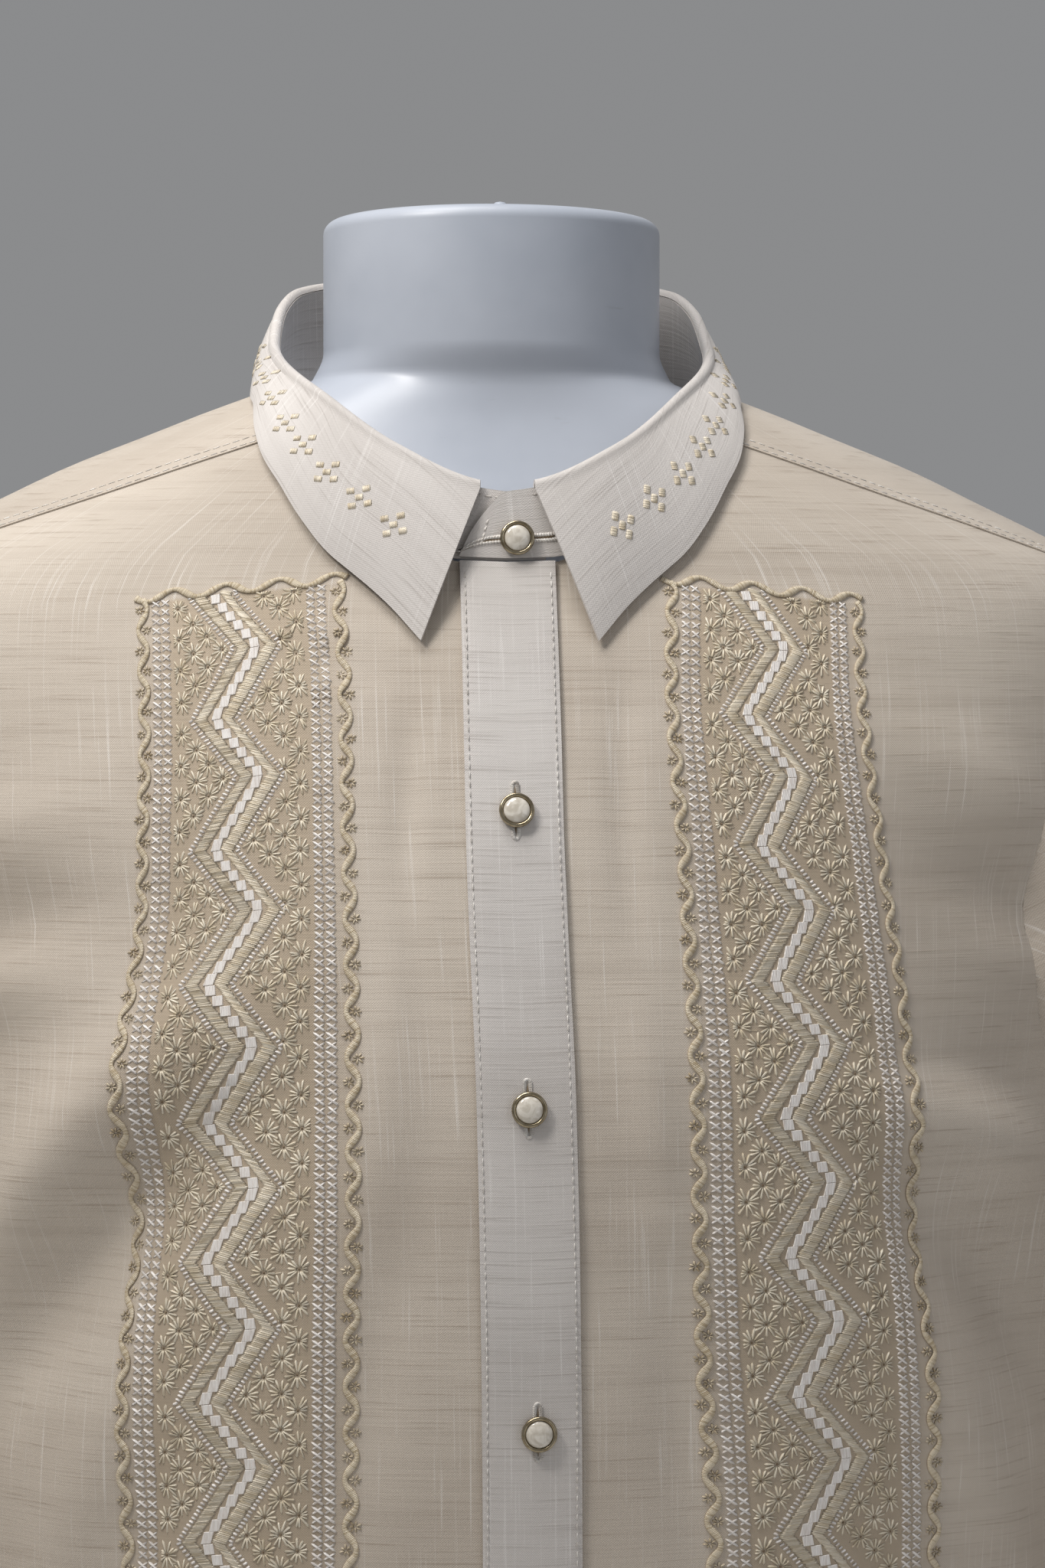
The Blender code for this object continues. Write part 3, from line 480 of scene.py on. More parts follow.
def times(tree, a, b, operation="MULTIPLY"):
    """One sum of two values, a product unless another operation is named."""
    return add_node(tree, "ShaderNodeMath", {0: a, 1: b}, operation=operation).outputs["Value"]


def mixed(tree, factor, a, b):
    """A colour between a and b."""
    node = add_node(tree, "ShaderNodeMix", {"Factor": factor}, data_type="RGBA")
    for socket, value in ((node.inputs["A"], a), (node.inputs["B"], b)):
        if isinstance(value, bpy.types.NodeSocket):
            tree.links.new(value, socket)
        else:
            socket.default_value = value
    return node.outputs["Result"]


def woven_cloth(name, yarn, dark_slub, pale_slub, sheer, slub_strength=1.0, band_ground=None):
    """Plain weave with slubs. sheer is the share of light that one face of the wall lets by."""
    material, tree, shader = new_material(
        name, Roughness=0.62, IOR=1.47, Sheen_Weight=0.25, Sheen_Roughness=0.4,
        Specular_IOR_Level=0.35)
    thread = add_node(tree, "ShaderNodeAttribute", attribute_name="thread").outputs["Vector"]
    weft = thread_noise(tree, thread, 26.0, 1150.0)
    warp = thread_noise(tree, thread, 950.0, 17.0)
    broad = thread_noise(tree, thread, 7.0, 9.0, 2.0)
    passes = thread_noise(tree, thread, 5.0, 190.0)
    weft_slub = times(tree, ranged(tree, weft, 0.54, 0.72), 0.70 * slub_strength)
    warp_slub = times(tree, ranged(tree, warp, 0.56, 0.76), 0.60 * slub_strength)
    colour = mixed(tree, ranged(tree, broad, 0.3, 0.7, 0.0, 0.35), yarn, dark_slub)
    colour = mixed(tree, ranged(tree, passes, 0.45, 0.75, 0.0, 0.20 * slub_strength), colour, dark_slub)
    colour = mixed(tree, weft_slub, colour, dark_slub)
    colour = mixed(tree, warp_slub, colour, pale_slub)
    if band_ground is not None:
        place = add_node(tree, "ShaderNodeAttribute", attribute_name="band").outputs["Vector"]
        parts = add_node(tree, "ShaderNodeSeparateXYZ", {"Vector": place}).outputs
        field = ranged(tree, parts["X"], 0.003, 0.015, 0.25, 0.85)
        from_side = ranged(tree, parts["X"], 0.0, 0.002)
        from_top = ranged(tree, parts["Y"], 0.0, 0.002)
        inside = times(tree, from_side, from_top)
        colour = mixed(tree, times(tree, inside, field), colour, band_ground)
    tree.links.new(colour, shader.inputs["Base Color"])
    axes = add_node(tree, "ShaderNodeSeparateXYZ", {"Vector": thread}).outputs
    turns = 2 * math.pi / YARN_SPACING
    wave_u = add_node(tree, "ShaderNodeMath", {0: times(tree, axes["X"], turns)}, operation="SINE")
    wave_v = add_node(tree, "ShaderNodeMath", {0: times(tree, axes["Y"], turns)}, operation="SINE")
    weave = times(tree, wave_u.outputs["Value"], wave_v.outputs["Value"])
    relief = times(tree, times(tree, weave, 0.25), times(tree, weft, 1.2), "ADD")
    relief = times(tree, relief, times(tree, warp, 0.8), "ADD")
    bump = add_node(tree, "ShaderNodeBump", {"Height": relief, "Strength": 0.35, "Distance": 0.0004})
    tree.links.new(bump.outputs["Normal"], shader.inputs["Normal"])
    if sheer > 0:
        open_weave = times(tree, ranged(tree, weave, -1.0, 1.0, 0.0, 0.16), 1.0 - sheer, "ADD")
        slubbed = times(tree, open_weave, times(tree, weft_slub, 0.15), "ADD")
        tree.links.new(slubbed, shader.inputs["Alpha"])
    return material


pina = woven_cloth("pina cloth, plain woven", linear("#DCD1C3"), linear("#A89A8B"),
                   linear("#F4EEE6"), 0.22, band_ground=linear("#BEAD96"))
pina_plain = woven_cloth("pina cloth, plain woven, body", linear("#DCD1C3"), linear("#A89A8B"),
                         linear("#F4EEE6"), 0.22)
pina_double = woven_cloth("pina cloth, two layers, pressed", linear("#D5D0CC"), linear("#A39C96"),
                          linear("#F0EDEA"), 0.0, 0.8)

# %% [markdown]
# ## Fronts, back and yoke
# A maker cuts two fronts, one back and one yoke that runs over both shoulders. Each is a grid of
# points on the shirt's surface between its own seams. A plain subdivided plane with a shrink
# modifier would lose the seams' exact lines, so the grids run from seam to seam.

# %% Armhole and seams
ARMHOLE_ANGLE = 90.0
ARMHOLE_FRONT_REACH = 38.0
ARMHOLE_BACK_REACH = 34.0
ARMHOLE_MIDDLE = 0.6207
ARMHOLE_HALF_HEIGHT = 0.1137
ARMHOLE_RADIUS = 0.085         # half its width along the cloth, for small insets
YOKE_FRONT_TURN = 21.0
YOKE_BACK_TURN = 52.0
YOKE_BACK_HEIGHT = 0.700
YOKE_NECK_ANGLE = 34.0
SHEER_WALL = 0.0005            # thickness of the thin shell
UNDERLAP = 0.0140
UPPER_FRONT_MORE = 0.0005      # the upper front runs this much further under the placket
SIDE_DEPTH = 0.13              # the body's radius at the side seam
VENT_OPEN = 0.006


def armhole(turn, side, inset=0.0):
    """Angle and height on the armhole. A turn of 0 is its top, 90 its front, 180 the underarm."""
    turn = np.radians(turn)
    reach = np.where(np.sin(turn) > 0, ARMHOLE_FRONT_REACH, ARMHOLE_BACK_REACH)
    angle = ARMHOLE_ANGLE - reach * np.sin(turn) * (1.0 - inset / ARMHOLE_RADIUS)
    scale = 1.0 - inset / ARMHOLE_HALF_HEIGHT
    height = ARMHOLE_MIDDLE + ARMHOLE_HALF_HEIGHT * np.cos(turn) * scale
    return np.radians(angle) * side, height


def side_edge(height, side, toward_front):
    """The angle of a side seam's edge, with the vent open below it."""
    gap = VENT_OPEN * ease((VENT_TOP - height) / (VENT_TOP - HEM)) / SIDE_DEPTH
    return side * (math.pi / 2 - gap if toward_front else math.pi / 2 + gap)


def angle_at(x, height):
    """The angle on the front where the surface passes a place x beside the centre line."""
    half_width = smooth(height, column(SHIRT_SECTIONS, 0), column(SHIRT_SECTIONS, 1))
    return np.arcsin(x / half_width)


def run_lengths(points, axis):
    """Distance along the cloth from the start of each row or column."""
    step = np.linalg.norm(np.diff(points, axis=axis), axis=-1)
    start = np.zeros_like(np.take(step, [0], axis=axis))
    return np.concatenate([start, np.cumsum(step, axis=axis)], axis=axis)


def even_thread(angle, height):
    """The place on the flat cloth: round the body at one radius, and up."""
    return np.stack([angle * 0.20, height + 0 * angle, 0 * angle], axis=-1)


# %% Front panels
FRONT_ROWS_LOW = 84            # rows from the hem to the armpit
FRONT_ROWS_CENTRE = 28         # and up the centre front to the neck
FRONT_ROWS_NECK = 12           # and along the neckline to the yoke
FRONT_COLUMNS = 64


def front_grid(side, edge_x):
    """Angles and heights of one front, from its edge under the placket to its side seam."""
    low = np.linspace(HEM, UNDERARM, FRONT_ROWS_LOW + 1)
    top = float(neckline_height(angle_at(edge_x, NECK_PIT)))
    centre = np.append(low, np.linspace(UNDERARM, top, FRONT_ROWS_CENTRE + 1)[1:])
    neck_angle = np.radians(np.linspace(4.5, YOKE_NECK_ANGLE, FRONT_ROWS_NECK))
    inner_angle = np.concatenate([angle_at(edge_x, centre), neck_angle])
    inner_height = np.concatenate([centre, neckline_height(neck_angle)])
    turns = np.linspace(180.0, YOKE_FRONT_TURN, FRONT_ROWS_CENTRE + FRONT_ROWS_NECK + 1)[1:]
    outer_angle, outer_height = armhole(turns, 1)
    outer_angle = np.append(side_edge(low, 1, True), outer_angle)
    outer_height = np.append(low, outer_height)
    share = np.linspace(0.0, 1.0, FRONT_COLUMNS)
    angle = inner_angle[:, None] + (outer_angle - inner_angle)[:, None] * share
    height = inner_height[:, None] + (outer_height - inner_height)[:, None] * share
    return side * angle, height


# %% [markdown]
# The embroidered bands lie on the fronts, between two lines that the tables below give as angles
# for each height. They are not mirrored: the same strip is sewn on both sides, so its zigzag
# starts the same way. A place on the band is s, millimetres across from its left edge as seen
# from the front, and t, millimetres down from its top edge. The top edge slopes with the grain.

# %% Where the bands lie
BAND_WIDTH = 76.0              # millimetres
BAND_TOP = 0.7290              # height of the top edge at the end beside the placket
BAND_BOTTOM = 0.0780
BAND_EDGES = {                 # height, angle of the band's left edge, angle of its right edge
    -1: ((0.038, -37.0, -15.0), (0.397, -37.5, -14.8), (0.472, -37.8, -14.6), (0.554, -36.9, -13.8),
         (0.627, -33.3, -13.1), (0.691, -32.1, -12.9), (0.732, -32.6, -13.6)),
    1: ((0.038, 15.3, 40.3), (0.3995, 15.1, 40.1), (0.474, 14.2, 39.2), (0.555, 14.0, 37.5),
        (0.627, 13.5, 34.2), (0.6915, 12.6, 31.4), (0.732, 13.3, 31.9)),
}
GRAIN_DROP = ((0.0, 8.0), (60.0, 6.5), (200.0, 3.0), (400.0, 1.5), (800.0, 0.5))  # t, drop in mm

level = np.linspace(BAND_TOP + 0.010, HEM, 400)
spine = on_shirt(np.radians(22.0) + 0 * level, level)
spine_run = 1000.0 * run_lengths(spine, 0)
spine_run -= np.interp(-BAND_TOP, -level, spine_run)


def band_angle(side, s, height):
    """The angle of a place s millimetres across the band, at a height."""
    table = BAND_EDGES[side]
    left = smooth(height, column(table, 0), column(table, 1))
    right = smooth(height, column(table, 0), column(table, 2))
    return np.radians(left + (right - left) * s / BAND_WIDTH)


def band_height(side, s, t):
    """The height of a place on the band."""
    from_placket = s if side > 0 else BAND_WIDTH - s
    drop = smooth(t, column(GRAIN_DROP, 0), column(GRAIN_DROP, 1)) * from_placket / BAND_WIDTH
    return np.interp(t + drop, spine_run, level)


def on_band(side, s, t, lift):
    """A point of the cloth at s and t on the band, lifted by some millimetres."""
    height = band_height(side, s, t)
    return on_cloth(band_angle(side, s, height), height, np.asarray(lift) / 1000.0)


def band_place(side, angle, height):
    """For the cloth's finish: distance in metres inside the band from its nearest side, and
    from its top edge. Both are negative outside."""
    table = BAND_EDGES[side]
    left = smooth(height, column(table, 0), column(table, 1))
    right = smooth(height, column(table, 0), column(table, 2))
    s = BAND_WIDTH * (np.degrees(angle) - left) / (right - left)
    run = np.interp(-height, -level, spine_run)
    from_placket = s if side > 0 else BAND_WIDTH - s
    drop = smooth(run, column(GRAIN_DROP, 0), column(GRAIN_DROP, 1)) * from_placket / BAND_WIDTH
    from_side = np.minimum(s, BAND_WIDTH - s)
    from_low = 1000.0 * (height - BAND_BOTTOM)
    return np.stack([from_side, np.minimum(run - drop, from_low), 0 * from_side], axis=-1) / 1000.0


band_length = float(np.interp(-BAND_BOTTOM, -level, spine_run))
print("each band is", round(band_length), "mm long")

# %% Make the fronts
cloth_pieces = {}
for side, word, edge_x in ((1, "left", UNDERLAP + UPPER_FRONT_MORE), (-1, "right", UNDERLAP)):
    angle, height = front_grid(side, edge_x)
    if side < 0:
        angle, height = angle[:, ::-1], height[:, ::-1]
    points = on_cloth(angle, height)
    name = "front_" + word
    piece = cloth_shell(name + "_cloth", points, pina, SHEER_WALL, even_thread(angle, height),
                        band_place(side, angle, height))
    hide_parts(name)
    cloth_pieces[name] = piece

# %% Make the back
BACK_COLUMNS = 120
BACK_ROWS_TOP = 36
low = np.linspace(HEM, UNDERARM, FRONT_ROWS_LOW + 1)
share = np.linspace(0.0, 1.0, BACK_ROWS_TOP + 1)[1:]
turns = np.linspace(180.0, 360.0 - YOKE_BACK_TURN, BACK_ROWS_TOP + 1)[1:]
arm_angle, arm_height = armhole(turns, 1)
side_angle = np.append(side_edge(low, 1, False), arm_angle)
side_height = np.append(low, arm_height)
middle_height = np.append(low, UNDERARM + (YOKE_BACK_HEIGHT - UNDERARM) * share)
across = np.linspace(-1.0, 1.0, BACK_COLUMNS)
angle = math.pi + (math.pi - side_angle)[:, None] * across
height = side_height[:, None] + (middle_height - side_height)[:, None] * (1.0 - across ** 2)
back = cloth_shell("back_cloth", on_cloth(angle, height), pina_plain, SHEER_WALL,
                   even_thread(angle, height))
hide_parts("back")
cloth_pieces["back"] = back

# %% Make the yoke
YOKE_ARM_STEPS = 18
YOKE_BACK_STEPS = 110
YOKE_ROWS = 28
YOKE_OVER = 0.0006             # the yoke is sewn on top of the fronts and the back
left_angle, left_height = armhole(np.linspace(YOKE_FRONT_TURN, -YOKE_BACK_TURN, YOKE_ARM_STEPS + 1), 1)
back_share = np.linspace(0.0, 1.0, YOKE_BACK_STEPS + 1)[1:-1]
back_angle = left_angle[-1] + (2 * math.pi - 2 * left_angle[-1]) * back_share
bow = 1.0 - (2 * back_share - 1.0) ** 2
back_height = left_height[-1] + (YOKE_BACK_HEIGHT - left_height[-1]) * bow
outer_angle = np.concatenate([left_angle, back_angle, 2 * math.pi - left_angle[::-1]])
outer_height = np.concatenate([left_height, back_height, left_height[::-1]])
neck_start = math.radians(YOKE_NECK_ANGLE)
share = np.linspace(0.0, 1.0, len(outer_angle))
inner_angle = neck_start + (2 * math.pi - 2 * neck_start) * share
inner_height = neckline_height(inner_angle)
down = np.linspace(1.0, 0.0, YOKE_ROWS)[:, None]
angle = inner_angle + (outer_angle - inner_angle) * down
height = inner_height + (outer_height - inner_height) * down
yoke = cloth_shell("yoke_cloth", on_cloth(angle, height, YOKE_OVER), pina_plain, SHEER_WALL,
                   even_thread(angle, height))
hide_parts("yoke")
cloth_pieces["yoke"] = yoke

# %% [markdown]
# ## Placket
# The buttoned strip is the same cloth folded double and pressed, so it is whiter and less sheer
# than the fronts. It lies flat over both fronts' edges, and a line of white stitches runs down
# each of its long sides.

# %% Make the placket
PLACKET_HALF = 0.0165
PLACKET_OUT = 0.0022
DOUBLE_WALL = 0.0009
PLACKET_ROWS = 170
PLACKET_COLUMNS = 15


def placket_point(x, share, lift=0.0):
    """A point of the placket: x beside its middle line, and the share of the way from hem to neck."""
    top = neckline_height(angle_at(np.abs(x), NECK_PIT)) - 0.0004
    height = HEM + (top - HEM) * share
    return on_cloth(angle_at(x, height), height, PLACKET_OUT + lift)


across = np.linspace(-PLACKET_HALF, PLACKET_HALF, PLACKET_COLUMNS)[None, :]
share = np.linspace(0.0, 1.0, PLACKET_ROWS)[:, None]
edge_roll = -0.0004 * (np.abs(across) / PLACKET_HALF) ** 8
ripple = 0.00025 * np.sin(46.0 * share + 2.0) * np.cos(29.0 * share) * (across / PLACKET_HALF) ** 2
points = placket_point(across + 0 * share, share + 0 * across, edge_roll + ripple)
thread = np.stack([across + 0 * share, 0.70 * share + 0 * across, 0 * across * share], axis=-1)
placket = cloth_shell("placket_cloth", points, pina_double, DOUBLE_WALL, thread)
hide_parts("placket")
cloth_pieces["placket"] = placket

# %% [markdown]
# ## Collar
# A shirt collar has two parts. The stand is a band that goes round the neck, with a rounded end
# that buttons over the other one. The fall is sewn to the stand's upper edge, rolls over and
# comes down to two points. Both are double cloth with a firm layer inside, so they hold a smooth
# curve. Their slubs run from the fold to the outer edge.

# %% Collar sizes
FOLD_HALF_WIDTH = 0.0785
FOLD_FRONT = 0.0800
FOLD_BACK = 0.0730
FOLD_LINE = (  # angle, height
    (0.0, 0.7600), (7.0, 0.7615), (28.0, 0.7745), (53.0, 0.7950), (80.0, 0.8115),
    (92.0, 0.8190), (105.0, 0.8320), (118.0, 0.8400), (140.0, 0.8450), (180.0, 0.8470),
)
COLLAR_EDGE = (  # fold_angle, edge_angle, edge_height
    (6.6, 7.3, 0.7070), (20.0, 10.5, 0.7215), (35.0, 16.0, 0.7380), (50.0, 27.5, 0.7640),
    (65.0, 40.5, 0.7810), (80.0, 57.0, 0.7925), (100.0, 85.0, 0.7985), (130.0, 126.0, 0.7985),
    (180.0, 180.0, 0.7970),
)
STAND_LIFT = 0.0009
OVERLAP_STEP = 0.0021
STAND_UNDER_END = 3.4
STAND_OVER_END = -364.2
STAND_ROUND_ANGLE = 4.6
STAND_END_HEIGHT = 0.25
COLLAR_CLEARANCE = 0.0028
COLLAR_BELLY = 0.0030
COLLAR_WALL = 0.0012


def fold_point(angle, out, up):
    """A place beside the collar's fold line: out from the neck, and up."""
    depth = np.where(np.cos(angle) > 0, FOLD_FRONT, FOLD_BACK)
    x = (FOLD_HALF_WIDTH + out) * np.sin(angle)
    y = NECK_Y - (depth + out) * np.cos(angle)
    z = smooth(around(angle), column(FOLD_LINE, 0), column(FOLD_LINE, 1)) + up
    return np.stack([x, y, z], axis=-1)


def overlap_out(angle):
    """The buttoned end of the stand steps out over the other end."""
    return OVERLAP_STEP * ease((-300.0 - np.degrees(angle)) / 34.0)


def stand_point(turn, share, lift=0.0):
    """A point of the stand: degrees round, share of the way up, and lift off its outer face."""
    angle = np.radians(turn)
    out = overlap_out(angle)
    low = on_shirt(angle, neckline_height(angle), out)
    low[..., 2] += STAND_LIFT
    high = fold_point(angle, out, 0.0)
    from_end = np.clip((turn - STAND_OVER_END) / STAND_ROUND_ANGLE, 0.0, 1.0)
    full = STAND_END_HEIGHT + (1 - STAND_END_HEIGHT) * np.sqrt(1.0 - (1.0 - from_end) ** 2)
    outward = np.stack([np.sin(angle), -np.cos(angle), 0 * angle], axis=-1)
    return low + (high - low) * (share * full)[..., None] + outward * np.asarray(lift)[..., None]


rounded = STAND_OVER_END + STAND_ROUND_ANGLE * np.linspace(0.0, 1.0, 16) ** 2
stand_turns = np.concatenate([rounded, np.arange(-359.0, STAND_UNDER_END, 1.5), [STAND_UNDER_END]])
share = np.linspace(0.0, 1.0, 16)[:, None]
points = stand_point(stand_turns[None, :] + 0 * share, share + 0 * stand_turns[None, :])
thread = np.stack([np.radians(stand_turns)[None, :] * 0.08 + 0 * share,
                   share * 0.03 + 0 * stand_turns[None, :], 0 * share * stand_turns[None, :]], axis=-1)
stand = cloth_shell("collar_stand_cloth", points, pina_double, COLLAR_WALL, thread)
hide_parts("collar_stand")
cloth_pieces["collar_stand"] = stand

# %% Collar fall
def fall_point(turn, share, lift=0.0):
    """A point of the fall. A share of 0 is its outer edge, 1 the start of the roll, 2 the end of
    the roll, where it is sewn to the stand."""
    angle = np.radians(turn)
    folded = around(angle)
    edge_turn = smooth(folded, column(COLLAR_EDGE, 0), column(COLLAR_EDGE, 1))
    edge_height = smooth(folded, column(COLLAR_EDGE, 0), column(COLLAR_EDGE, 2))
    wearer_right = np.mod(turn, 360.0) > 180.0
    edge_angle = np.radians(np.where(wearer_right, -edge_turn, edge_turn))
    edge = on_shirt(edge_angle, edge_height, COLLAR_CLEARANCE)
    step = overlap_out(angle)
    start = fold_point(angle, step + 0.0034, -0.0004)
    outward = np.stack([np.sin(angle), -np.cos(angle), 0 * angle], axis=-1)
    belly = (start + edge) / 2 + outward * COLLAR_BELLY
    t = 1.0 - np.clip(share, 0.0, 1.0)[..., None]
    leaf = start * (1 - t) ** 2 + belly * 2 * t * (1 - t) + edge * t * t
    roll_turn = np.clip(share - 1.0, 0.0, 1.0) * math.radians(165.0)
    roll_out = 0.0012 + 0.0022 * np.cos(roll_turn)
    roll_up = -0.0004 + 0.0030 * np.sin(roll_turn)
    roll = fold_point(angle, step + roll_out, roll_up)
    points = np.where((share > 1.0)[..., None], roll, leaf)
    return points + outward * np.asarray(lift)[..., None]


FALL_END = COLLAR_EDGE[0][0]
fall_turns = np.linspace(-360.0 + FALL_END, -FALL_END, 236)
share = np.concatenate([np.linspace(0.0, 1.0, 26), 1.0 + np.linspace(0.0, 1.0, 9)[1:]])[:, None]
points = fall_point(fall_turns[None, :] + 0 * share, share + 0 * fall_turns[None, :])
down_run = run_lengths(points, 0)
along_run = run_lengths(points, 1)[10][None, :] + 0 * share
thread = np.stack([along_run, down_run, 0 * down_run], axis=-1)
fall = cloth_shell("collar_fall_cloth", points, pina_double, COLLAR_WALL, thread)
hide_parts("collar_fall")
cloth_pieces["collar_fall"] = fall

# %% [markdown]
# ## Sleeves and cuffs
# A set-in sleeve starts at the armhole, runs out over the shoulder and falls beside the body. It
# hangs empty but holds a round shape, with soft upright folds that the cuff gathers. The cuff is
# double cloth that buttons at the back of its outer side.

# %% Sleeve sizes
SLEEVE_SECTIONS = (  # height, middle_x, middle_y, half_width, half_depth
    (0.450, 0.2830, -0.004, 0.0470, 0.0770), (0.400, 0.2865, -0.006, 0.0460, 0.0735),
    (0.350, 0.2890, -0.009, 0.0445, 0.0695), (0.300, 0.2910, -0.012, 0.0430, 0.0650),
    (0.250, 0.2925, -0.015, 0.0410, 0.0600), (0.215, 0.2935, -0.018, 0.0385, 0.0550),
    (0.1905, 0.2940, -0.019, 0.0350, 0.0500),
)
SLEEVE_RADIUS = 0.060          # metres, only to give turns a length
SLEEVE_START_PULL = 0.85
SLEEVE_END_PULL = 0.95
SLEEVE_TILT = -0.36
SLEEVE_WAVES = 5
SLEEVE_WAVE_DEPTH = 0.0030
SLEEVE_COLUMNS = 100
SLEEVE_CAP_ROWS = 44
SLEEVE_LOW_ROWS = 60
SLEEVE_CREASES = (  # turn, height, half_length, half_width, lie, depth: as the body's creases
    (20.0, 0.560, 0.050, 0.011, 25.0, 0.0030), (60.0, 0.520, 0.050, 0.010, -20.0, -0.0028),
    (110.0, 0.500, 0.060, 0.011, 18.0, 0.0030), (200.0, 0.480, 0.060, 0.012, -25.0, 0.0032),
    (250.0, 0.440, 0.060, 0.012, 30.0, -0.0030), (330.0, 0.470, 0.060, 0.012, -35.0, 0.0028),
    (60.0, 0.360, 0.060, 0.012, 20.0, 0.0034), (80.0, 0.335, 0.050, 0.010, 24.0, -0.0034),
    (130.0, 0.350, 0.050, 0.011, -22.0, 0.0030), (20.0, 0.300, 0.060, 0.012, 30.0, -0.0028),
    (300.0, 0.340, 0.060, 0.012, -25.0, 0.0034), (280.0, 0.310, 0.050, 0.011, -18.0, -0.0030),
    (160.0, 0.260, 0.060, 0.012, 60.0, 0.0026), (230.0, 0.270, 0.060, 0.011, -60.0, -0.0026),
)


def sleeve_ring(height, turn, side, waves):
    """One horizontal ring of a sleeve, with soft upright folds."""
    order = np.argsort(column(SLEEVE_SECTIONS, 0))
    table = np.array(SLEEVE_SECTIONS)[order]
    middle_x, middle_y, half_width, half_depth = (
        smooth(height, table[:, 0], table[:, k]) for k in (1, 2, 3, 4))
    wave = waves * SLEEVE_WAVE_DEPTH * np.sin(SLEEVE_WAVES * turn + 3.0 * (height - 0.3) * side)
    x = side * (middle_x + (half_width + wave) * np.cos(turn))
    y = NECK_Y + middle_y - (half_depth + wave) * np.sin(turn)
    return np.stack([x, y, height + 0 * x], axis=-1)


def sleeve_points(side):
    """The sleeve's grid from the cuff up to the armhole. It opens at the underarm seam."""
    turn = np.linspace(180.0, 540.0, SLEEVE_COLUMNS + 1)
    angle, height = armhole(turn, side, 0.0)
    start = on_cloth(angle, height)
    top = SLEEVE_SECTIONS[0][0]
    end = sleeve_ring(top, np.radians(turn), side, 0.25)
    length = np.linalg.norm(end - start, axis=1)[:, None]
    leave = np.array([side * math.cos(SLEEVE_TILT), 0.0, math.sin(SLEEVE_TILT)])
    arrive = np.array([0.0, 0.0, -1.0])
    rings = []
    for t in np.linspace(0.0, 1.0, SLEEVE_CAP_ROWS):
        ring = (1 + 2 * t) * (1 - t) ** 2 * start + t * t * (3 - 2 * t) * end
        ring = ring + t * (1 - t) ** 2 * SLEEVE_START_PULL * length * leave
        ring = ring + t * t * (t - 1) * SLEEVE_END_PULL * length * arrive
        rings.append(ring)
    for z in np.linspace(top, SLEEVE_SECTIONS[-1][0], SLEEVE_LOW_ROWS + 1)[1:]:
        strength = 0.25 + 0.75 * ease((top - z) / 0.12) * (1 - ease((0.23 - z) / 0.04))
        rings.append(sleeve_ring(z, np.radians(turn), side, strength))
    return np.stack(rings)[::-1], turn


def sleeve_push(points, turn):
    """How far the sleeve's creases push its cloth out."""
    height = points[..., 2]
    push = np.zeros(height.shape)
    for middle, level, half_length, spread, lie, depth in SLEEVE_CREASES:
        away = np.radians((turn - middle + 180.0) % 360.0 - 180.0) * SLEEVE_RADIUS
        rise = height - level
        lean = math.radians(lie)
        along = away * math.cos(lean) + rise * math.sin(lean)
        across = -away * math.sin(lean) + rise * math.cos(lean)
        push += depth * np.exp(-(along / half_length) ** 2 * 1.6) * np.exp(-(across / spread) ** 2)
    return push


for side, word in ((1, "left"), (-1, "right")):
    points, turn = sleeve_points(side)
    normal = normals_of(points)
    centre_out = points[..., 0] * side - SLEEVE_SECTIONS[0][1]
    if (normal[..., 0] * side * centre_out).sum() < 0:
        normal = -normal
    points = points + normal * sleeve_push(points, turn)[..., None]
    thread = np.stack([np.radians(turn)[None, :] * SLEEVE_RADIUS + 0 * points[..., 0],
                       run_lengths(points, 0), 0 * points[..., 0]], axis=-1)
    if side > 0:
        points, thread = points[:, ::-1], thread[:, ::-1]
    name = "sleeve_" + word
    piece = cloth_shell(name + "_cloth", points, pina_plain, SHEER_WALL, thread)
    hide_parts(name)
    cloth_pieces[name] = piece

# %% Cuffs
CUFF_TOP = 0.190
CUFF_BOTTOM = 0.126
CUFF_HALF_WIDTH = 0.0345
CUFF_HALF_DEPTH = 0.0495
CUFF_TAPER = 0.0015
CUFF_OVERLAP = 24.0
CUFF_STEP = 0.0021
CUFF_OPENING = -118.0
CUFF_RADIUS = 0.045            # metres, only to give turns a length


def cuff_point(turn, height, side, lift=0.0):
    """A place on the cuff. A turn of 0 is its outermost side and 90 its front."""
    middle_x, middle_y = SLEEVE_SECTIONS[-1][1:3]
    step = CUFF_STEP * ease((turn - CUFF_OPENING - 300.0) / 50.0)
    out = step + lift - CUFF_TAPER * (CUFF_TOP - height) / (CUFF_TOP - CUFF_BOTTOM)
    angle = np.radians(turn)
    x = side * (middle_x + (CUFF_HALF_WIDTH + out) * np.cos(angle))
    y = NECK_Y + middle_y - (CUFF_HALF_DEPTH + out) * np.sin(angle)
    return np.stack([x, y, height + 0 * x], axis=-1)


turns = np.linspace(CUFF_OPENING, CUFF_OPENING + 360.0 + CUFF_OVERLAP, 120)[None, :]
height = np.linspace(CUFF_BOTTOM, CUFF_TOP - 0.0002, 20)[:, None]
for side, word in ((1, "left"), (-1, "right")):
    points = cuff_point(turns + 0 * height, height + 0 * turns, side)
    round_cuff = np.radians(turns) * CUFF_RADIUS + 0 * height
    thread = np.stack([round_cuff, height + 0 * turns, 0 * height * turns], axis=-1)
    if side > 0:
        points, thread = points[:, ::-1], thread[:, ::-1]
    name = "cuff_" + word
    piece = cloth_shell(name + "_cloth", points, pina_double, DOUBLE_WALL, thread)
    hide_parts(name)
    cloth_pieces[name] = piece

# %% [markdown]
# ## The form
# The torso form is a vacuum formed or rotation moulded white plastic, with a satin skin. Its neck
# ends in a flat topped block with rounded edges. Handling leaves faint scuffs and grey marks.

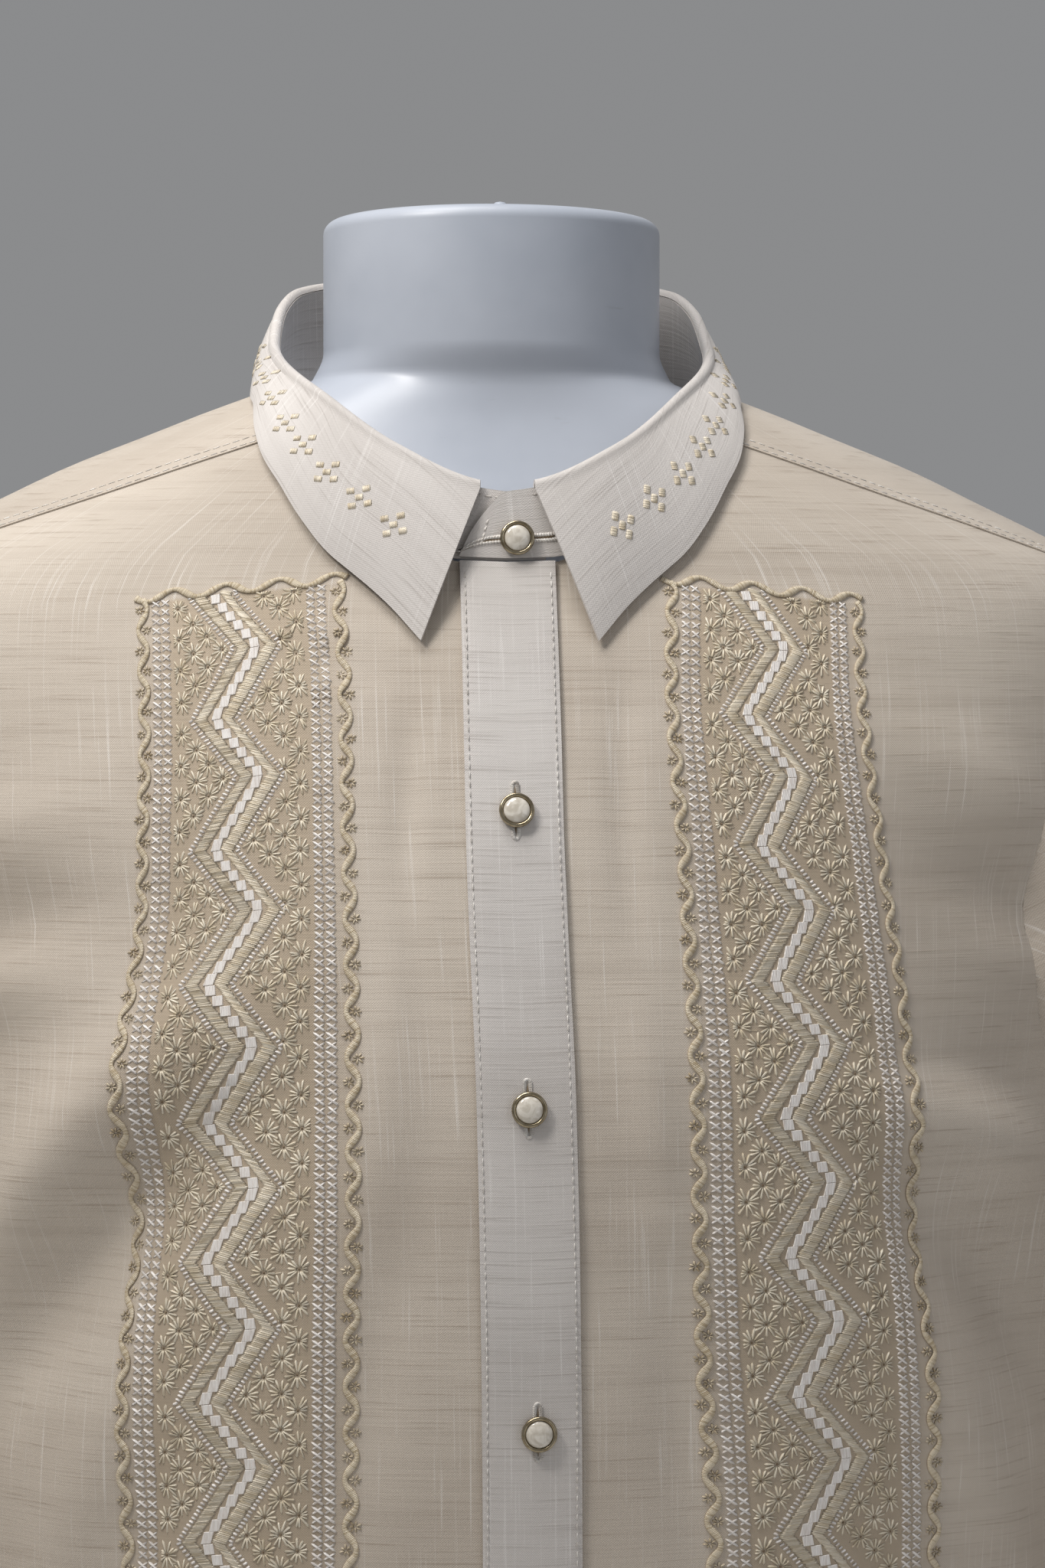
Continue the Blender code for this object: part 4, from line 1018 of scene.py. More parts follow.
# %% Form plastic
form_plastic, tree, shader = new_material(
    "moulded white polyethylene", Roughness=0.38, IOR=1.51, Specular_IOR_Level=0.5)
place = add_node(tree, "ShaderNodeTexCoord").outputs["Object"]
cloudy = add_node(tree, "ShaderNodeTexNoise", {"Vector": place, "Scale": 14.0, "Detail": 4.0})
cloudy = cloudy.outputs["Fac"]
colour = mixed(tree, ranged(tree, cloudy, 0.35, 0.7), linear("#B8BEC9"), linear("#A9B0BC"))
scuff_place = add_node(tree, "ShaderNodeMapping", {"Vector": place, "Scale": (60.0, 60.0, 260.0)})
scuff_inputs = {"Vector": scuff_place.outputs["Vector"], "Scale": 1.0, "Detail": 5.0}
scuffs = add_node(tree, "ShaderNodeTexNoise", scuff_inputs)
marks = ranged(tree, scuffs.outputs["Fac"], 0.70, 0.78, 0.0, 0.35)
colour = mixed(tree, marks, colour, linear("#A3A8B0"))
tree.links.new(colour, shader.inputs["Base Color"])
rough = ranged(tree, cloudy, 0.3, 0.7, 0.32, 0.46)
tree.links.new(rough, shader.inputs["Roughness"])
bump = add_node(tree, "ShaderNodeBump", {"Height": cloudy, "Strength": 0.15, "Distance": 0.001})
tree.links.new(bump.outputs["Normal"], shader.inputs["Normal"])

# %% Form sections
FORM_SECTIONS = (  # height, half_width, front_depth, back_depth
    (0.000, 0.150, 0.1080, 0.100), (0.060, 0.158, 0.1130, 0.106), (0.150, 0.163, 0.1140, 0.107),
    (0.250, 0.153, 0.1080, 0.096), (0.330, 0.147, 0.1080, 0.090), (0.420, 0.156, 0.1200, 0.094),
    (0.500, 0.170, 0.1340, 0.100), (0.560, 0.182, 0.1325, 0.105), (0.620, 0.193, 0.1195, 0.107),
    (0.670, 0.201, 0.1050, 0.104),
)
SHOULDER_START = 0.700
SHOULDER_DROP = 0.0019
SHOULDER_INSET = 0.0024
SHOULDER_REACH = 0.203
SHOULDER_ROUND = 0.030
NECK_HALF_WIDTH = 0.0617
NECK_HALF_DEPTH = 0.0580
NECK_ROOT = 0.799
NECK_BLEND = 0.016
NECK_MIDDLE = 0.835
NECK_EDGE = 0.005
FORM_SIDES = 128


def form_section(height):
    """Half width, front depth and back depth of the form at one height."""
    heights = column(FORM_SECTIONS, 0)
    torso = [float(smooth(height, heights, column(FORM_SECTIONS, k))) for k in (1, 2, 3)]
    shirt_heights = column(SHIRT_SECTIONS, 0)
    shoulder = []
    for k in (1, 2, 3):
        size = float(smooth(height + SHOULDER_DROP, shirt_heights, column(SHIRT_SECTIONS, k)))
        shoulder.append(size - SHOULDER_INSET)
    over = max(0.0, shoulder[0] - SHOULDER_REACH + SHOULDER_ROUND)
    shoulder[0] -= over * over / (over + SHOULDER_ROUND)
    low_end = FORM_SECTIONS[-1][0]
    into_shoulder = float(ease((height - low_end) / (SHOULDER_START - low_end)))
    body = [t + (s - t) * into_shoulder for t, s in zip(torso, shoulder)]
    neck = (NECK_HALF_WIDTH, NECK_HALF_DEPTH, NECK_HALF_DEPTH)
    into_neck = float(ease((height - NECK_ROOT) / NECK_BLEND))
    return [b + (n - b) * into_neck for b, n in zip(body, neck)]


# %% Make the form
turn = np.linspace(0.0, 2 * math.pi, FORM_SIDES, endpoint=False)
rings = []


def form_ring(height, half_width, front, back):
    """Adds one ring of points round the form."""
    depth = np.where(np.cos(turn) > 0, front, back)
    x = half_width * np.sin(turn)
    y = NECK_Y - depth * np.cos(turn)
    rings.append(np.stack([x, y, height + 0 * turn], axis=1))


torso_heights = np.linspace(0.0, SHOULDER_START, 60)
shoulder_heights = np.linspace(SHOULDER_START, NECK_ROOT, 40)[1:]
root_heights = NECK_ROOT + NECK_BLEND * np.linspace(0.0, 1.0, 12)[1:]
neck_heights = [NECK_MIDDLE, NECK_TOP - NECK_EDGE]
form_heights = np.concatenate([torso_heights, shoulder_heights, root_heights, neck_heights])
for height in form_heights:
    form_ring(height, *form_section(height))
top_sizes = form_section(NECK_TOP - NECK_EDGE)
for corner in np.radians(np.linspace(0.0, 90.0, 9))[1:]:
    inward = NECK_EDGE * (1 - math.cos(corner))
    height = NECK_TOP - NECK_EDGE + NECK_EDGE * math.sin(corner)
    form_ring(height, *[size - inward for size in top_sizes])
points = np.concatenate(rings)
faces = grid_faces(len(rings), FORM_SIDES, closed=True)
faces += [tuple(range(FORM_SIDES))[::-1], tuple(len(points) - FORM_SIDES + k for k in range(FORM_SIDES))]
form = make_piece("torso_form_plastic", points, faces, form_plastic, sharp=40)
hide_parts("torso_form")

# %% [markdown]
# A small round nub stands on the neck's flat top near its front, as filling a mould leaves one. It
# is a low button of the same plastic.

# %% Moulding nub
NUB = ((0.0, -0.3), (1.0, -0.3), (0.9, 0.25), (0.6, 0.5), (0.0, 0.62))  # shares of its radius
NUB_RADIUS = 0.0028
NUB_FROM_FRONT = 0.012
NUB_STEPS = 24
turn = np.linspace(0.0, 2 * math.pi, NUB_STEPS, endpoint=False)
spoke = np.stack([np.cos(turn), np.sin(turn), 0 * turn], axis=1)
middle = np.array([0.0, NECK_Y - NECK_HALF_DEPTH + NUB_FROM_FRONT, NECK_TOP])
upright = np.array([0.0, 0.0, 1.0])
points = [middle + upright * NUB[0][1] * NUB_RADIUS]
for reach, rise in NUB[1:-1]:
    points.extend(middle + (spoke * reach + upright * rise) * NUB_RADIUS)
points.append(middle + upright * NUB[-1][1] * NUB_RADIUS)
faces = grid_faces(len(NUB) - 2, NUB_STEPS, start=1, closed=True)
last = 1 + (len(NUB) - 3) * NUB_STEPS
for k in range(NUB_STEPS):
    n = (k + 1) % NUB_STEPS
    faces.append((0, 1 + n, 1 + k))
    faces.append((len(points) - 1, last + k, last + n))
nub = make_piece("torso_form_nub", np.array(points), faces, form_plastic)

# %% [markdown]
# ## Embroidery
# The bands are floss embroidery on the sheer cloth. Every stitch is a few strands that lie on the
# cloth between two needle holes, so each is drawn as a small closed spindle with a flat underside.
# Thousands are laid at once with arrays: a stitch has a start and an end in millimetres on the
# band, and the band's own function bends it onto the cloth. A picture of the pattern would lie
# flat, while these catch the light and shade the cloth beside them.
#
# Silk or rayon floss has hardly any twist, so a stitch shines along its length and shows a few
# darker strands. The daisies have the palest beige and the wrapped cord is tan. Sewing thread is
# spun and duller. The needle pulls the cloth open in a daisy's middle, and the shade in there is
# painted on: a small brown spindle.

# %% Floss
FLOSS_RIDGE = 0.00050          # strands are nearer 0.2 mm, drawn coarser so that they show


def floss(name, pale, deep, roughness):
    """Silk or rayon floss. Ridges run along each stitch and some strands are darker."""
    material, tree, shader = new_material(
        name, Roughness=roughness, IOR=1.5, Sheen_Weight=0.15, Specular_IOR_Level=0.45)
    thread = add_node(tree, "ShaderNodeAttribute", attribute_name="thread").outputs["Vector"]
    strands = thread_noise(tree, thread, 1500.0, 160.0, 2.0)
    patches = thread_noise(tree, thread, 120.0, 120.0, 2.0)
    colour = mixed(tree, ranged(tree, strands, 0.42, 0.66), pale, deep)
    colour = mixed(tree, ranged(tree, patches, 0.35, 0.75, 0.0, 0.4), colour, deep)
    tree.links.new(colour, shader.inputs["Base Color"])
    axes = add_node(tree, "ShaderNodeSeparateXYZ", {"Vector": thread}).outputs
    phase = times(tree, axes["X"], 2 * math.pi / FLOSS_RIDGE)
    wave = add_node(tree, "ShaderNodeMath", {0: phase}, operation="SINE")
    relief = times(tree, times(tree, wave.outputs["Value"], 0.4), strands, "ADD")
    bump = add_node(tree, "ShaderNodeBump", {"Height": relief, "Strength": 0.6, "Distance": 0.0003})
    tree.links.new(bump.outputs["Normal"], shader.inputs["Normal"])
    return material


beige_floss = floss("beige silk floss", linear("#EFE5D2"), linear("#D3C4A9"), 0.42)
tan_floss = floss("tan silk floss, wrapped cord", linear("#E0D3BB"), linear("#B7A586"), 0.42)
daisy_floss = floss("pale beige silk floss", linear("#F4EBD8"), linear("#D9CBB0"), 0.42)
white_floss = floss("white silk floss", linear("#FBF7F3"), linear("#E8E0D9"), 0.46)
sewing_thread = floss("white spun polyester thread", linear("#F3F0EB"), linear("#D5CEC6"), 0.6)
# Painted shade: the needle openings in the daisies and the buttonhole slots are small brown shapes,
# mottled by noise.
hole_shade, tree, shader = new_material("cloth in shade, pulled open by the needle", Roughness=0.8)
painted_shade_mottle = add_node(tree, "ShaderNodeTexNoise", {"Scale": 900.0, "Detail": 2.0}).outputs["Fac"]
tree.links.new(mixed(tree, ranged(tree, painted_shade_mottle, 0.3, 0.7), linear("#8C7A62"), linear("#6E5E4A")),
               shader.inputs["Base Color"])

# %% Stitches from arrays
SPINDLE = (  # share of the way along, share of the half width, share of the height
    (0.0, 0.0, 0.1), (0.2, 1.0, 0.0), (0.2, 0.0, 1.0), (0.2, -1.0, 0.0),
    (0.8, 1.0, 0.0), (0.8, 0.0, 1.0), (0.8, -1.0, 0.0), (1.0, 0.0, 0.1),
)
SPINDLE_FACES = ((0, 1, 2), (0, 2, 3), (0, 3, 1), (1, 4, 5, 2), (2, 5, 6, 3), (3, 6, 4, 1),
                 (7, 5, 4), (7, 6, 5), (7, 4, 6))
BLOCK_SIZE = 3.4               # millimetres across a satin block


class Stitches:
    """Closed small shapes that gather into one mesh. Places are (across, down, lift) in mm."""

    def __init__(self):
        self.points, self.threads, self.faces, self.count = [], [], [], 0

    def add(self, points, threads, templates):
        """points is (shapes, corners, 3) and templates are the faces of one shape."""
        shapes, corners = points.shape[:2]
        starts = self.count + corners * np.arange(shapes)
        for face in templates:
            self.faces += (starts[:, None] + np.array(face)).tolist()
        self.points.append(points.reshape(-1, 3))
        self.threads.append(threads.reshape(-1, 3) / 1000.0)
        self.count += shapes * corners

    def spindles(self, start, end, width, height, lift=0.0):
        """One stitch from each start to its end, pointed at both."""
        start, end = np.atleast_2d(start).astype(float), np.atleast_2d(end).astype(float)
        run = end - start
        length = np.maximum(np.linalg.norm(run, axis=1), 1e-6)
        side = np.stack([-run[:, 1], run[:, 0]], axis=1) / length[:, None]
        width, height = (np.broadcast_to(value, length.shape) for value in (width, height))
        points, threads = [], []
        for along, beside, up in SPINDLE:
            place = start + run * along + side * (beside * width / 2)[:, None]
            points.append(np.column_stack([place, lift + up * height]))
            across = start[:, 0] + beside * width / 2
            threads.append(np.column_stack([across, start[:, 1] + along * length, 0 * length]))
        self.add(np.stack(points, axis=1), np.stack(threads, axis=1), SPINDLE_FACES)

    def pads(self, corners, height, inset=0.3):
        """Flat satin blocks from their four corners, with rounded upper edges."""
        middle = corners.mean(axis=1, keepdims=True)
        inner = middle + (corners - middle) * (1.0 - 2.0 * inset / BLOCK_SIZE)
        levels = [(corners, 0.0), (corners, 0.6 * height), (inner, height)]
        layers = [np.dstack([plan, np.full(plan.shape[:2], up)]) for plan, up in levels]
        points = np.concatenate(layers, axis=1)
        faces = [(3, 2, 1, 0), (8, 9, 10, 11)]
        for low in (0, 4):
            faces += [(low + k, low + (k + 1) % 4, low + 4 + (k + 1) % 4, low + 4 + k) for k in range(4)]
        self.add(points, points.copy(), faces)

    def cord(self, path, half_width, height, sides=8):
        """A laid cord along a path, with closed ends."""
        step = np.gradient(path, axis=0)
        step /= np.linalg.norm(step, axis=1, keepdims=True)
        beside = np.stack([-step[:, 1], step[:, 0]], axis=1)
        run = np.append(0.0, np.cumsum(np.linalg.norm(np.diff(path, axis=0), axis=1)))
        turn = np.arange(sides) * 2 * math.pi / sides
        plan = path[:, None, :] + beside[:, None, :] * (half_width[:, None] * np.cos(turn))[..., None]
        lift = height * (0.45 + 0.55 * np.sin(turn))[None, :] + 0 * run[:, None]
        points = np.dstack([plan, lift]).reshape(1, -1, 3)
        threads = np.dstack([run[:, None] + 0 * turn, 0 * run[:, None] + turn, 0 * lift])
        faces = grid_faces(len(path), sides, closed=True)
        faces += [tuple(range(sides))[::-1], tuple((len(path) - 1) * sides + k for k in range(sides))]
        self.add(points, threads.reshape(1, -1, 3), faces)

    def make(self, name, material, place, sharp=None):
        """The mesh, with place turning (across, down, lift) arrays into points."""
        flat = np.concatenate(self.points)
        piece = make_piece(name, place(flat[:, 0], flat[:, 1], flat[:, 2]), self.faces, material,
                           np.concatenate(self.threads), sharp=sharp)
        print(name, sum(len(face) - 2 for face in self.faces), "triangles")
        return piece


# %% [markdown]
# The pattern repeats down the band. From each side inward come a wavy cord with small florets in
# its bays, a white lattice and a field of daisies. A zigzag runs down the middle: a chain of white
# satin blocks between two beige satin stripes, each with a white rope outside it. Its turns are
# sharper on one side than on the other, as hand work often is.

# %% The band's pattern
ZIGZAG_LEFT = 28.5             # where the chain turns, in mm across the band
ZIGZAG_RIGHT = 44.3
ZIGZAG_TOP = 0.5
ZIGZAG_FALL = 21.5             # mm down from a left turn to the next right turn
ZIGZAG_PERIOD = 47.0
BLOCKS = 6.0                   # in the chain from turn to turn
BLOCK_HALF = 1.6
BLOCK_SLOPE = 0.15
STRIPES = ((-4.9, 5.0, 0.42, -0.5), (4.6, 4.8, 0.55, 1.5))  # from the chain, width, pitch, slant
ROPES = ((-8.5, 1.8, 0.9), (8.0, 1.6, 0.9))                 # from the chain, width, slant
DAISY_COLUMNS = ((16.5, 5.1), (21.6, 11.2), (26.6, 4.5), (31.9, 10.3), (57.8, 2.5), (52.6, 8.5),
                 (47.2, 3.2), (41.9, 9.2))                   # across, the first one down
DAISY_PITCH = 11.75
PETALS = 13
PETAL_START = 0.6              # mm from the daisy's middle
PETAL_LEAST = 1.1              # a petal whose reach is shorter is left out
FIELD = (13.8, 61.0)
FIELD_TOP = 0.8
ROPE_MARGINS = (1.1, 1.0)       # bare cloth outside each rope
LATTICES = ((6.0, 3.8, 3.5), (9.7, 3.6, 3.5), (61.5, 3.6, 3.1), (65.1, 3.7, 3.1))  # across, width, pitch
CORDS = (2.9, 73.1)
CORD_WAVE = 1.75
CORD_PERIOD = 15.6
END_CORD_WAVE = 1.9
END_CORD_PERIOD = 19.0


def is_falling(t):
    """Whether the chain runs from a left turn to a right turn there."""
    return np.mod(t - ZIGZAG_TOP, ZIGZAG_PERIOD) < ZIGZAG_FALL


def zigzag(t):
    """Where the chain's middle line is across the band."""
    phase = np.mod(t - ZIGZAG_TOP, ZIGZAG_PERIOD)
    swing = ZIGZAG_RIGHT - ZIGZAG_LEFT
    there = ZIGZAG_LEFT + swing * phase / ZIGZAG_FALL
    back_share = (phase - ZIGZAG_FALL) / (ZIGZAG_PERIOD - ZIGZAG_FALL)
    return np.where(is_falling(t), there, ZIGZAG_RIGHT - swing * back_share)


def outside_ropes(s, t, room):
    """Whether a place is in the field beside the zigzag."""
    middle = zigzag(t)
    left = middle + ROPES[0][0] - ROPE_MARGINS[0] - room
    right = middle + ROPES[1][0] + ROPE_MARGINS[1] + room
    return ((s < left) | (s > right)) & (s > FIELD[0]) & (s < FIELD[1]) & (t > FIELD_TOP)


def lay_daisies(stitches, painted_eye_shades, random):
    """Daisies in the field with painted shade in each middle, and a stray stitch beside half of them."""
    last = band_length - 3.0
    centres = [(s, t) for s, first in DAISY_COLUMNS for t in np.arange(first, last, DAISY_PITCH)]
    centres = np.array(centres)
    centres = centres[outside_ropes(centres[:, 0], centres[:, 1], 0.2)]
    centres = centres + random.normal(0.0, 0.22, centres.shape)
    turn = np.arange(PETALS) * 2 * math.pi / PETALS + random.normal(0.0, 0.07, (len(centres), PETALS))
    turn = turn + random.uniform(0.0, 0.5, (len(centres), 1))
    way = np.stack([np.sin(turn), np.cos(turn)], axis=-1)
    reach = (4.1 + 1.0 * np.abs(np.cos(turn))) * random.uniform(0.82, 1.06, turn.shape)
    start = centres[:, None] + way * PETAL_START
    for _ in range(5):
        end = centres[:, None] + way * reach[..., None]
        reach = np.where(outside_ropes(end[..., 0], end[..., 1], 0.0), reach, reach * 0.72)
    end = centres[:, None] + way * reach[..., None]
    kept = reach > PETAL_LEAST
    width = random.uniform(0.72, 0.98, turn.shape)
    stitches.spindles(start[kept], end[kept], width[kept], 0.55)
    # Painted shade: a small brown spindle in each daisy's middle.
    painted_eye_shades.spindles(centres - (0.0, 0.45), centres + (0.0, 0.45), 0.7, 0.30)
    near = centres[random.random(len(centres)) < 0.5]
    start = near + (1.6, 2.0) + random.normal(0.0, 0.8, near.shape)
    reach = [random.uniform(2.0, 4.5, len(near)), random.uniform(-0.9, 0.3, len(near))]
    end = start + np.column_stack(reach)
    kept = outside_ropes(start[:, 0], start[:, 1], 0.0) & outside_ropes(end[:, 0], end[:, 1], 0.0)
    stitches.spindles(start[kept], end[kept], 0.28, 0.25)


def lay_zigzag(beige, white, chain, random):
    """The beige stripes, the white ropes and the chain of blocks between them."""
    for offset, width, pitch, slant in STRIPES:
        t = np.arange(0.0, band_length, pitch)
        middle = zigzag(t) + offset
        rough = random.normal(0.0, 0.16, (2, len(t)))
        start = np.column_stack([middle - width / 2 + rough[0], t - slant / 2])
        end = np.column_stack([middle + width / 2 + rough[1], t + slant / 2])
        beige.spindles(start, end, pitch * 1.9, random.uniform(0.45, 0.60, len(t)))
    for offset, width, slant in ROPES:
        t = np.arange(0.0, band_length, 1.25)
        middle = zigzag(t) + offset
        rough = random.normal(0.0, 0.12, (2, len(t)))
        slant = np.where(is_falling(t), -slant, slant)
        start = np.column_stack([middle - width / 2 + rough[0], t - slant / 2])
        end = np.column_stack([middle + width / 2 + rough[1], t + slant / 2])
        white.spindles(start, end, 0.95, random.uniform(0.4, 0.55, len(t)))
    t = ZIGZAG_TOP + 0.3
    corners = []
    while t < band_length - 4.0:
        falling = is_falling(t)
        tall = (ZIGZAG_FALL if falling else ZIGZAG_PERIOD - ZIGZAG_FALL) / BLOCKS
        lean = 0.25 if falling else -0.55
        middle = float(zigzag(t + tall / 2))
        top, low = t + 0.05, t + tall - 0.05
        left = middle - BLOCK_HALF
        right = middle + BLOCK_HALF
        corners.append([(left - lean, top + BLOCK_SLOPE), (right - lean, top - BLOCK_SLOPE),
                        (right + lean, low - BLOCK_SLOPE), (left + lean, low + BLOCK_SLOPE)])
        t += tall
    chain.pads(np.array(corners), 0.45, 0.15)


def lay_lattice(white, random):
    """Rows of crossed stitches, the upper one of each pair thicker."""
    for left, width, pitch in LATTICES:
        t = np.arange(0.6, band_length - 2.0, pitch)
        rough = random.normal(0.0, 0.14, (4, len(t)))
        start = np.column_stack([left + 0.2 + rough[0], t + 2.7])
        end = np.column_stack([left + width - 0.2 + rough[1], t + 0.2])
        white.spindles(start, end, 0.75, 0.45)
        start = np.column_stack([left + 0.1 + rough[2], t - 0.1])
        end = np.column_stack([left + width + rough[3], t + 2.9])
        white.spindles(start, end, 1.05, 0.75)


def lay_cords(tan, random):
    """The wavy cords down both sides and across both ends."""
    t = np.arange(0.0, band_length, 0.9)
    for middle in CORDS:
        swing = np.sin(2 * math.pi * t / CORD_PERIOD)
        path = np.column_stack([middle + CORD_WAVE * swing, t])
        tan.cord(path, 0.75 + 0.45 * (1.0 - swing ** 2), 0.9)
        lay_florets(tan, middle, random)
    s = np.arange(0.0, BAND_WIDTH, 0.9)
    for down in (-1.0, band_length - 1.0):
        swing = np.sin(2 * math.pi * s / END_CORD_PERIOD)
        tan.cord(np.column_stack([s, down + END_CORD_WAVE * swing]), 0.8 + 0.45 * (1.0 - swing ** 2), 0.9)


def lay_florets(tan, middle, random):
    """Small florets in the bays of a cord."""
    bays = np.arange(CORD_PERIOD / 4, band_length - 2.0, CORD_PERIOD / 2)
    side = np.where(np.arange(len(bays)) % 2 == 0, -1.0, 1.0)
    centres = np.column_stack([middle + side * 1.25, bays]) + random.normal(0.0, 0.15, (len(bays), 2))
    turn = np.arange(7) * 2 * math.pi / 7 + random.uniform(0.0, 0.9, (len(bays), 1))
    way = np.stack([np.sin(turn), np.cos(turn)], axis=-1)
    reach = random.uniform(1.6, 2.3, turn.shape)[..., None]
    start = (centres[:, None] + way * 0.3).reshape(-1, 2)
    end = (centres[:, None] + way * reach).reshape(-1, 2)
    tan.spindles(start, end, 0.72, 0.6)


# %% Embroider both bands
for side, word in ((-1, "right"), (1, "left")):
    random = np.random.default_rng(11 + side)
    beige, tan, daisies, white, chain, painted_eye_shades = (Stitches() for _ in range(6))
    lay_daisies(daisies, painted_eye_shades, random)
    lay_zigzag(beige, white, chain, random)
    lay_lattice(white, random)
    lay_cords(tan, random)

    def place(s, t, lift, side=side):
        return on_band(side, s, t, lift)

    for what, stitches, material in (
            ("beige", beige, beige_floss), ("tan", tan, tan_floss), ("daisies", daisies, daisy_floss),
            ("white", white, white_floss), ("chain", chain, white_floss), ("painted_eye_shades", painted_eye_shades, hole_shade)):
        sharp = 40 if what == "chain" else None
        piece = stitches.make("embroidery_" + what + "_" + word, material, place, sharp)

# %% [markdown]
# ## Buttons and buttonholes
# Each button is a domed milky cabochon set in a turned metal cup, with a shank below. A turned
# profile gives the cup's rolled rim, which a plain cylinder would lack. The buttonholes are cut up
# and down in the placket and bound with close white stitches. The collar's one is level.
#
# The stone is resin poured with pearl pigment, which leaves faint swirls under a glossy skin. The
# cup is brass, pressed and plated in pale gold that is a little worn.

# %% Pearl and metal
pearl, tree, shader = new_material("milky pearl resin, poured with pearl pigment", Roughness=0.16,
                                   IOR=1.53, Coat_Weight=0.5, Coat_Roughness=0.06)
place = add_node(tree, "ShaderNodeTexCoord").outputs["Object"]
swirl_inputs = {"Vector": place, "Scale": 230.0, "Detail": 4.0, "Distortion": 1.6}
swirl = add_node(tree, "ShaderNodeTexNoise", swirl_inputs).outputs["Fac"]
colour = mixed(tree, ranged(tree, swirl, 0.35, 0.65), linear("#C9C1B3"), linear("#E6E0D5"))
tree.links.new(colour, shader.inputs["Base Color"])
cup_metal, tree, shader = new_material("pale gold plated brass", Metallic=1.0, Roughness=0.22)
place = add_node(tree, "ShaderNodeTexCoord").outputs["Object"]
worn = add_node(tree, "ShaderNodeTexNoise", {"Vector": place, "Scale": 420.0, "Detail": 3.0})
worn = worn.outputs["Fac"]
tree.links.new(mixed(tree, ranged(tree, worn, 0.3, 0.7), linear("#B7AB93"), linear("#8F8269")),
               shader.inputs["Base Color"])
tree.links.new(ranged(tree, worn, 0.3, 0.7, 0.16, 0.30), shader.inputs["Roughness"])

# %% Buttons
BUTTON_RADIUS = 0.006
BUTTON_SEAT = 0.0004
BUTTONS = (  # height, shift beside the placket's middle
    (0.6495, 0.0006), (0.5515, 0.0008), (0.4450, 0.0022),
    (0.3410, 0.0012), (0.2380, 0.0010), (0.1340, 0.0012),
)
CUP_PROFILE = (  # reach and rise as shares of the button's radius
    (0.0, 0.0), (0.80, 0.0), (0.93, 0.05), (0.985, 0.14), (1.0, 0.24), (0.99, 0.32), (0.95, 0.38),
    (0.89, 0.40), (0.82, 0.385), (0.775, 0.33), (0.76, 0.24), (0.0, 0.24),
)
TURNED_STEPS = 48


def turned(name, profile, radius, centre, normal, material):
    """A turned shape whose axis is the normal."""
    normal = np.asarray(normal, float)
    across = np.cross(normal, (0.0, 0.0, 1.0))
    across /= np.linalg.norm(across)
    up = np.cross(normal, across)
    turn = np.linspace(0.0, 2 * math.pi, TURNED_STEPS, endpoint=False)
    spoke = np.cos(turn)[:, None] * across + np.sin(turn)[:, None] * up
    points = [centre + normal * profile[0][1] * radius]
    for reach, rise in profile[1:-1]:
        points.extend(centre + spoke * reach * radius + normal * rise * radius)
    points.append(centre + normal * profile[-1][1] * radius)
    rings = len(profile) - 2
    faces = grid_faces(rings, TURNED_STEPS, start=1, closed=True)
    last = 1 + (rings - 1) * TURNED_STEPS
    for k in range(TURNED_STEPS):
        n = (k + 1) % TURNED_STEPS
        faces.append((0, 1 + n, 1 + k))
        faces.append((len(points) - 1, last + k, last + n))
    piece = make_piece(name, np.array(points), faces, material, sharp=50)
    return piece


def make_button(name, centre, normal, radius):
    """A button's stone and its cup."""
    dome = [(0.0, 0.10), (0.74, 0.10), (0.75, 0.28)]
    arc = np.radians(np.arange(10.0, 90.0, 10.0))
    dome += [(0.75 * math.cos(a), 0.28 + 0.28 * math.sin(a)) for a in arc]
    dome.append((0.0, 0.56))
    stone = turned(name + "_pearl", dome, radius, centre, normal, pearl)
    turned(name + "_cup", CUP_PROFILE, radius, centre, normal, cup_metal)
    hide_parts(name)


for number, (height, shift) in enumerate(BUTTONS, 1):
    angle = float(angle_at(shift, height))
    normal = on_shirt(angle, height, 0.001) - on_shirt(angle, height)
    normal /= np.linalg.norm(normal)
    centre = on_shirt(angle, height) + normal * (PLACKET_OUT + BUTTON_SEAT)
    make_button("button_%d" % number, centre, normal, BUTTON_RADIUS)

# %% [markdown]
# The collar's and the cuffs' buttons sit on cloth that curves another way, so each takes its
# direction from two steps along its own surface.

# %% Collar and cuff buttons
COLLAR_BUTTON_TURN = -359.0     # degrees round the stand
COLLAR_BUTTON_HEIGHT = 0.7435
COLLAR_BUTTON_SEAT = 0.0007
CUFF_BUTTON_INSET = 11.0
CUFF_BUTTON_SEAT = 0.0006
CUFF_BUTTON_RADIUS = 0.0045

low = stand_point(np.array([COLLAR_BUTTON_TURN]), np.array([0.0]))[0]
high = stand_point(np.array([COLLAR_BUTTON_TURN]), np.array([1.0]))[0]
rise = high - low
collar_share = (COLLAR_BUTTON_HEIGHT - low[2]) / rise[2]
beside = stand_point(np.array([COLLAR_BUTTON_TURN + 0.5]), np.array([collar_share]))[0]
centre = low + rise * collar_share
normal = np.cross(beside - centre, rise)
normal /= np.linalg.norm(normal)
normal = normal if normal[1] < 0 else -normal
make_button("button_collar", centre + normal * COLLAR_BUTTON_SEAT, normal, BUTTON_RADIUS)
for side, word in ((1, "left"), (-1, "right")):
    turn = CUFF_OPENING + 360.0 + CUFF_OVERLAP - CUFF_BUTTON_INSET
    height = (CUFF_TOP + CUFF_BOTTOM) / 2
    centre = cuff_point(turn, height, side, CUFF_BUTTON_SEAT)
    around_cuff = cuff_point(turn + 0.5, height, side) - cuff_point(turn - 0.5, height, side)
    normal = np.cross(around_cuff, (0.0, 0.0, 1.0))
    normal /= np.linalg.norm(normal)
    outside = cuff_point(turn, height, side, 0.001) - cuff_point(turn, height, side)
    normal = normal if normal @ outside > 0 else -normal
    make_button("cuff_button_" + word, centre, normal, CUFF_BUTTON_RADIUS)
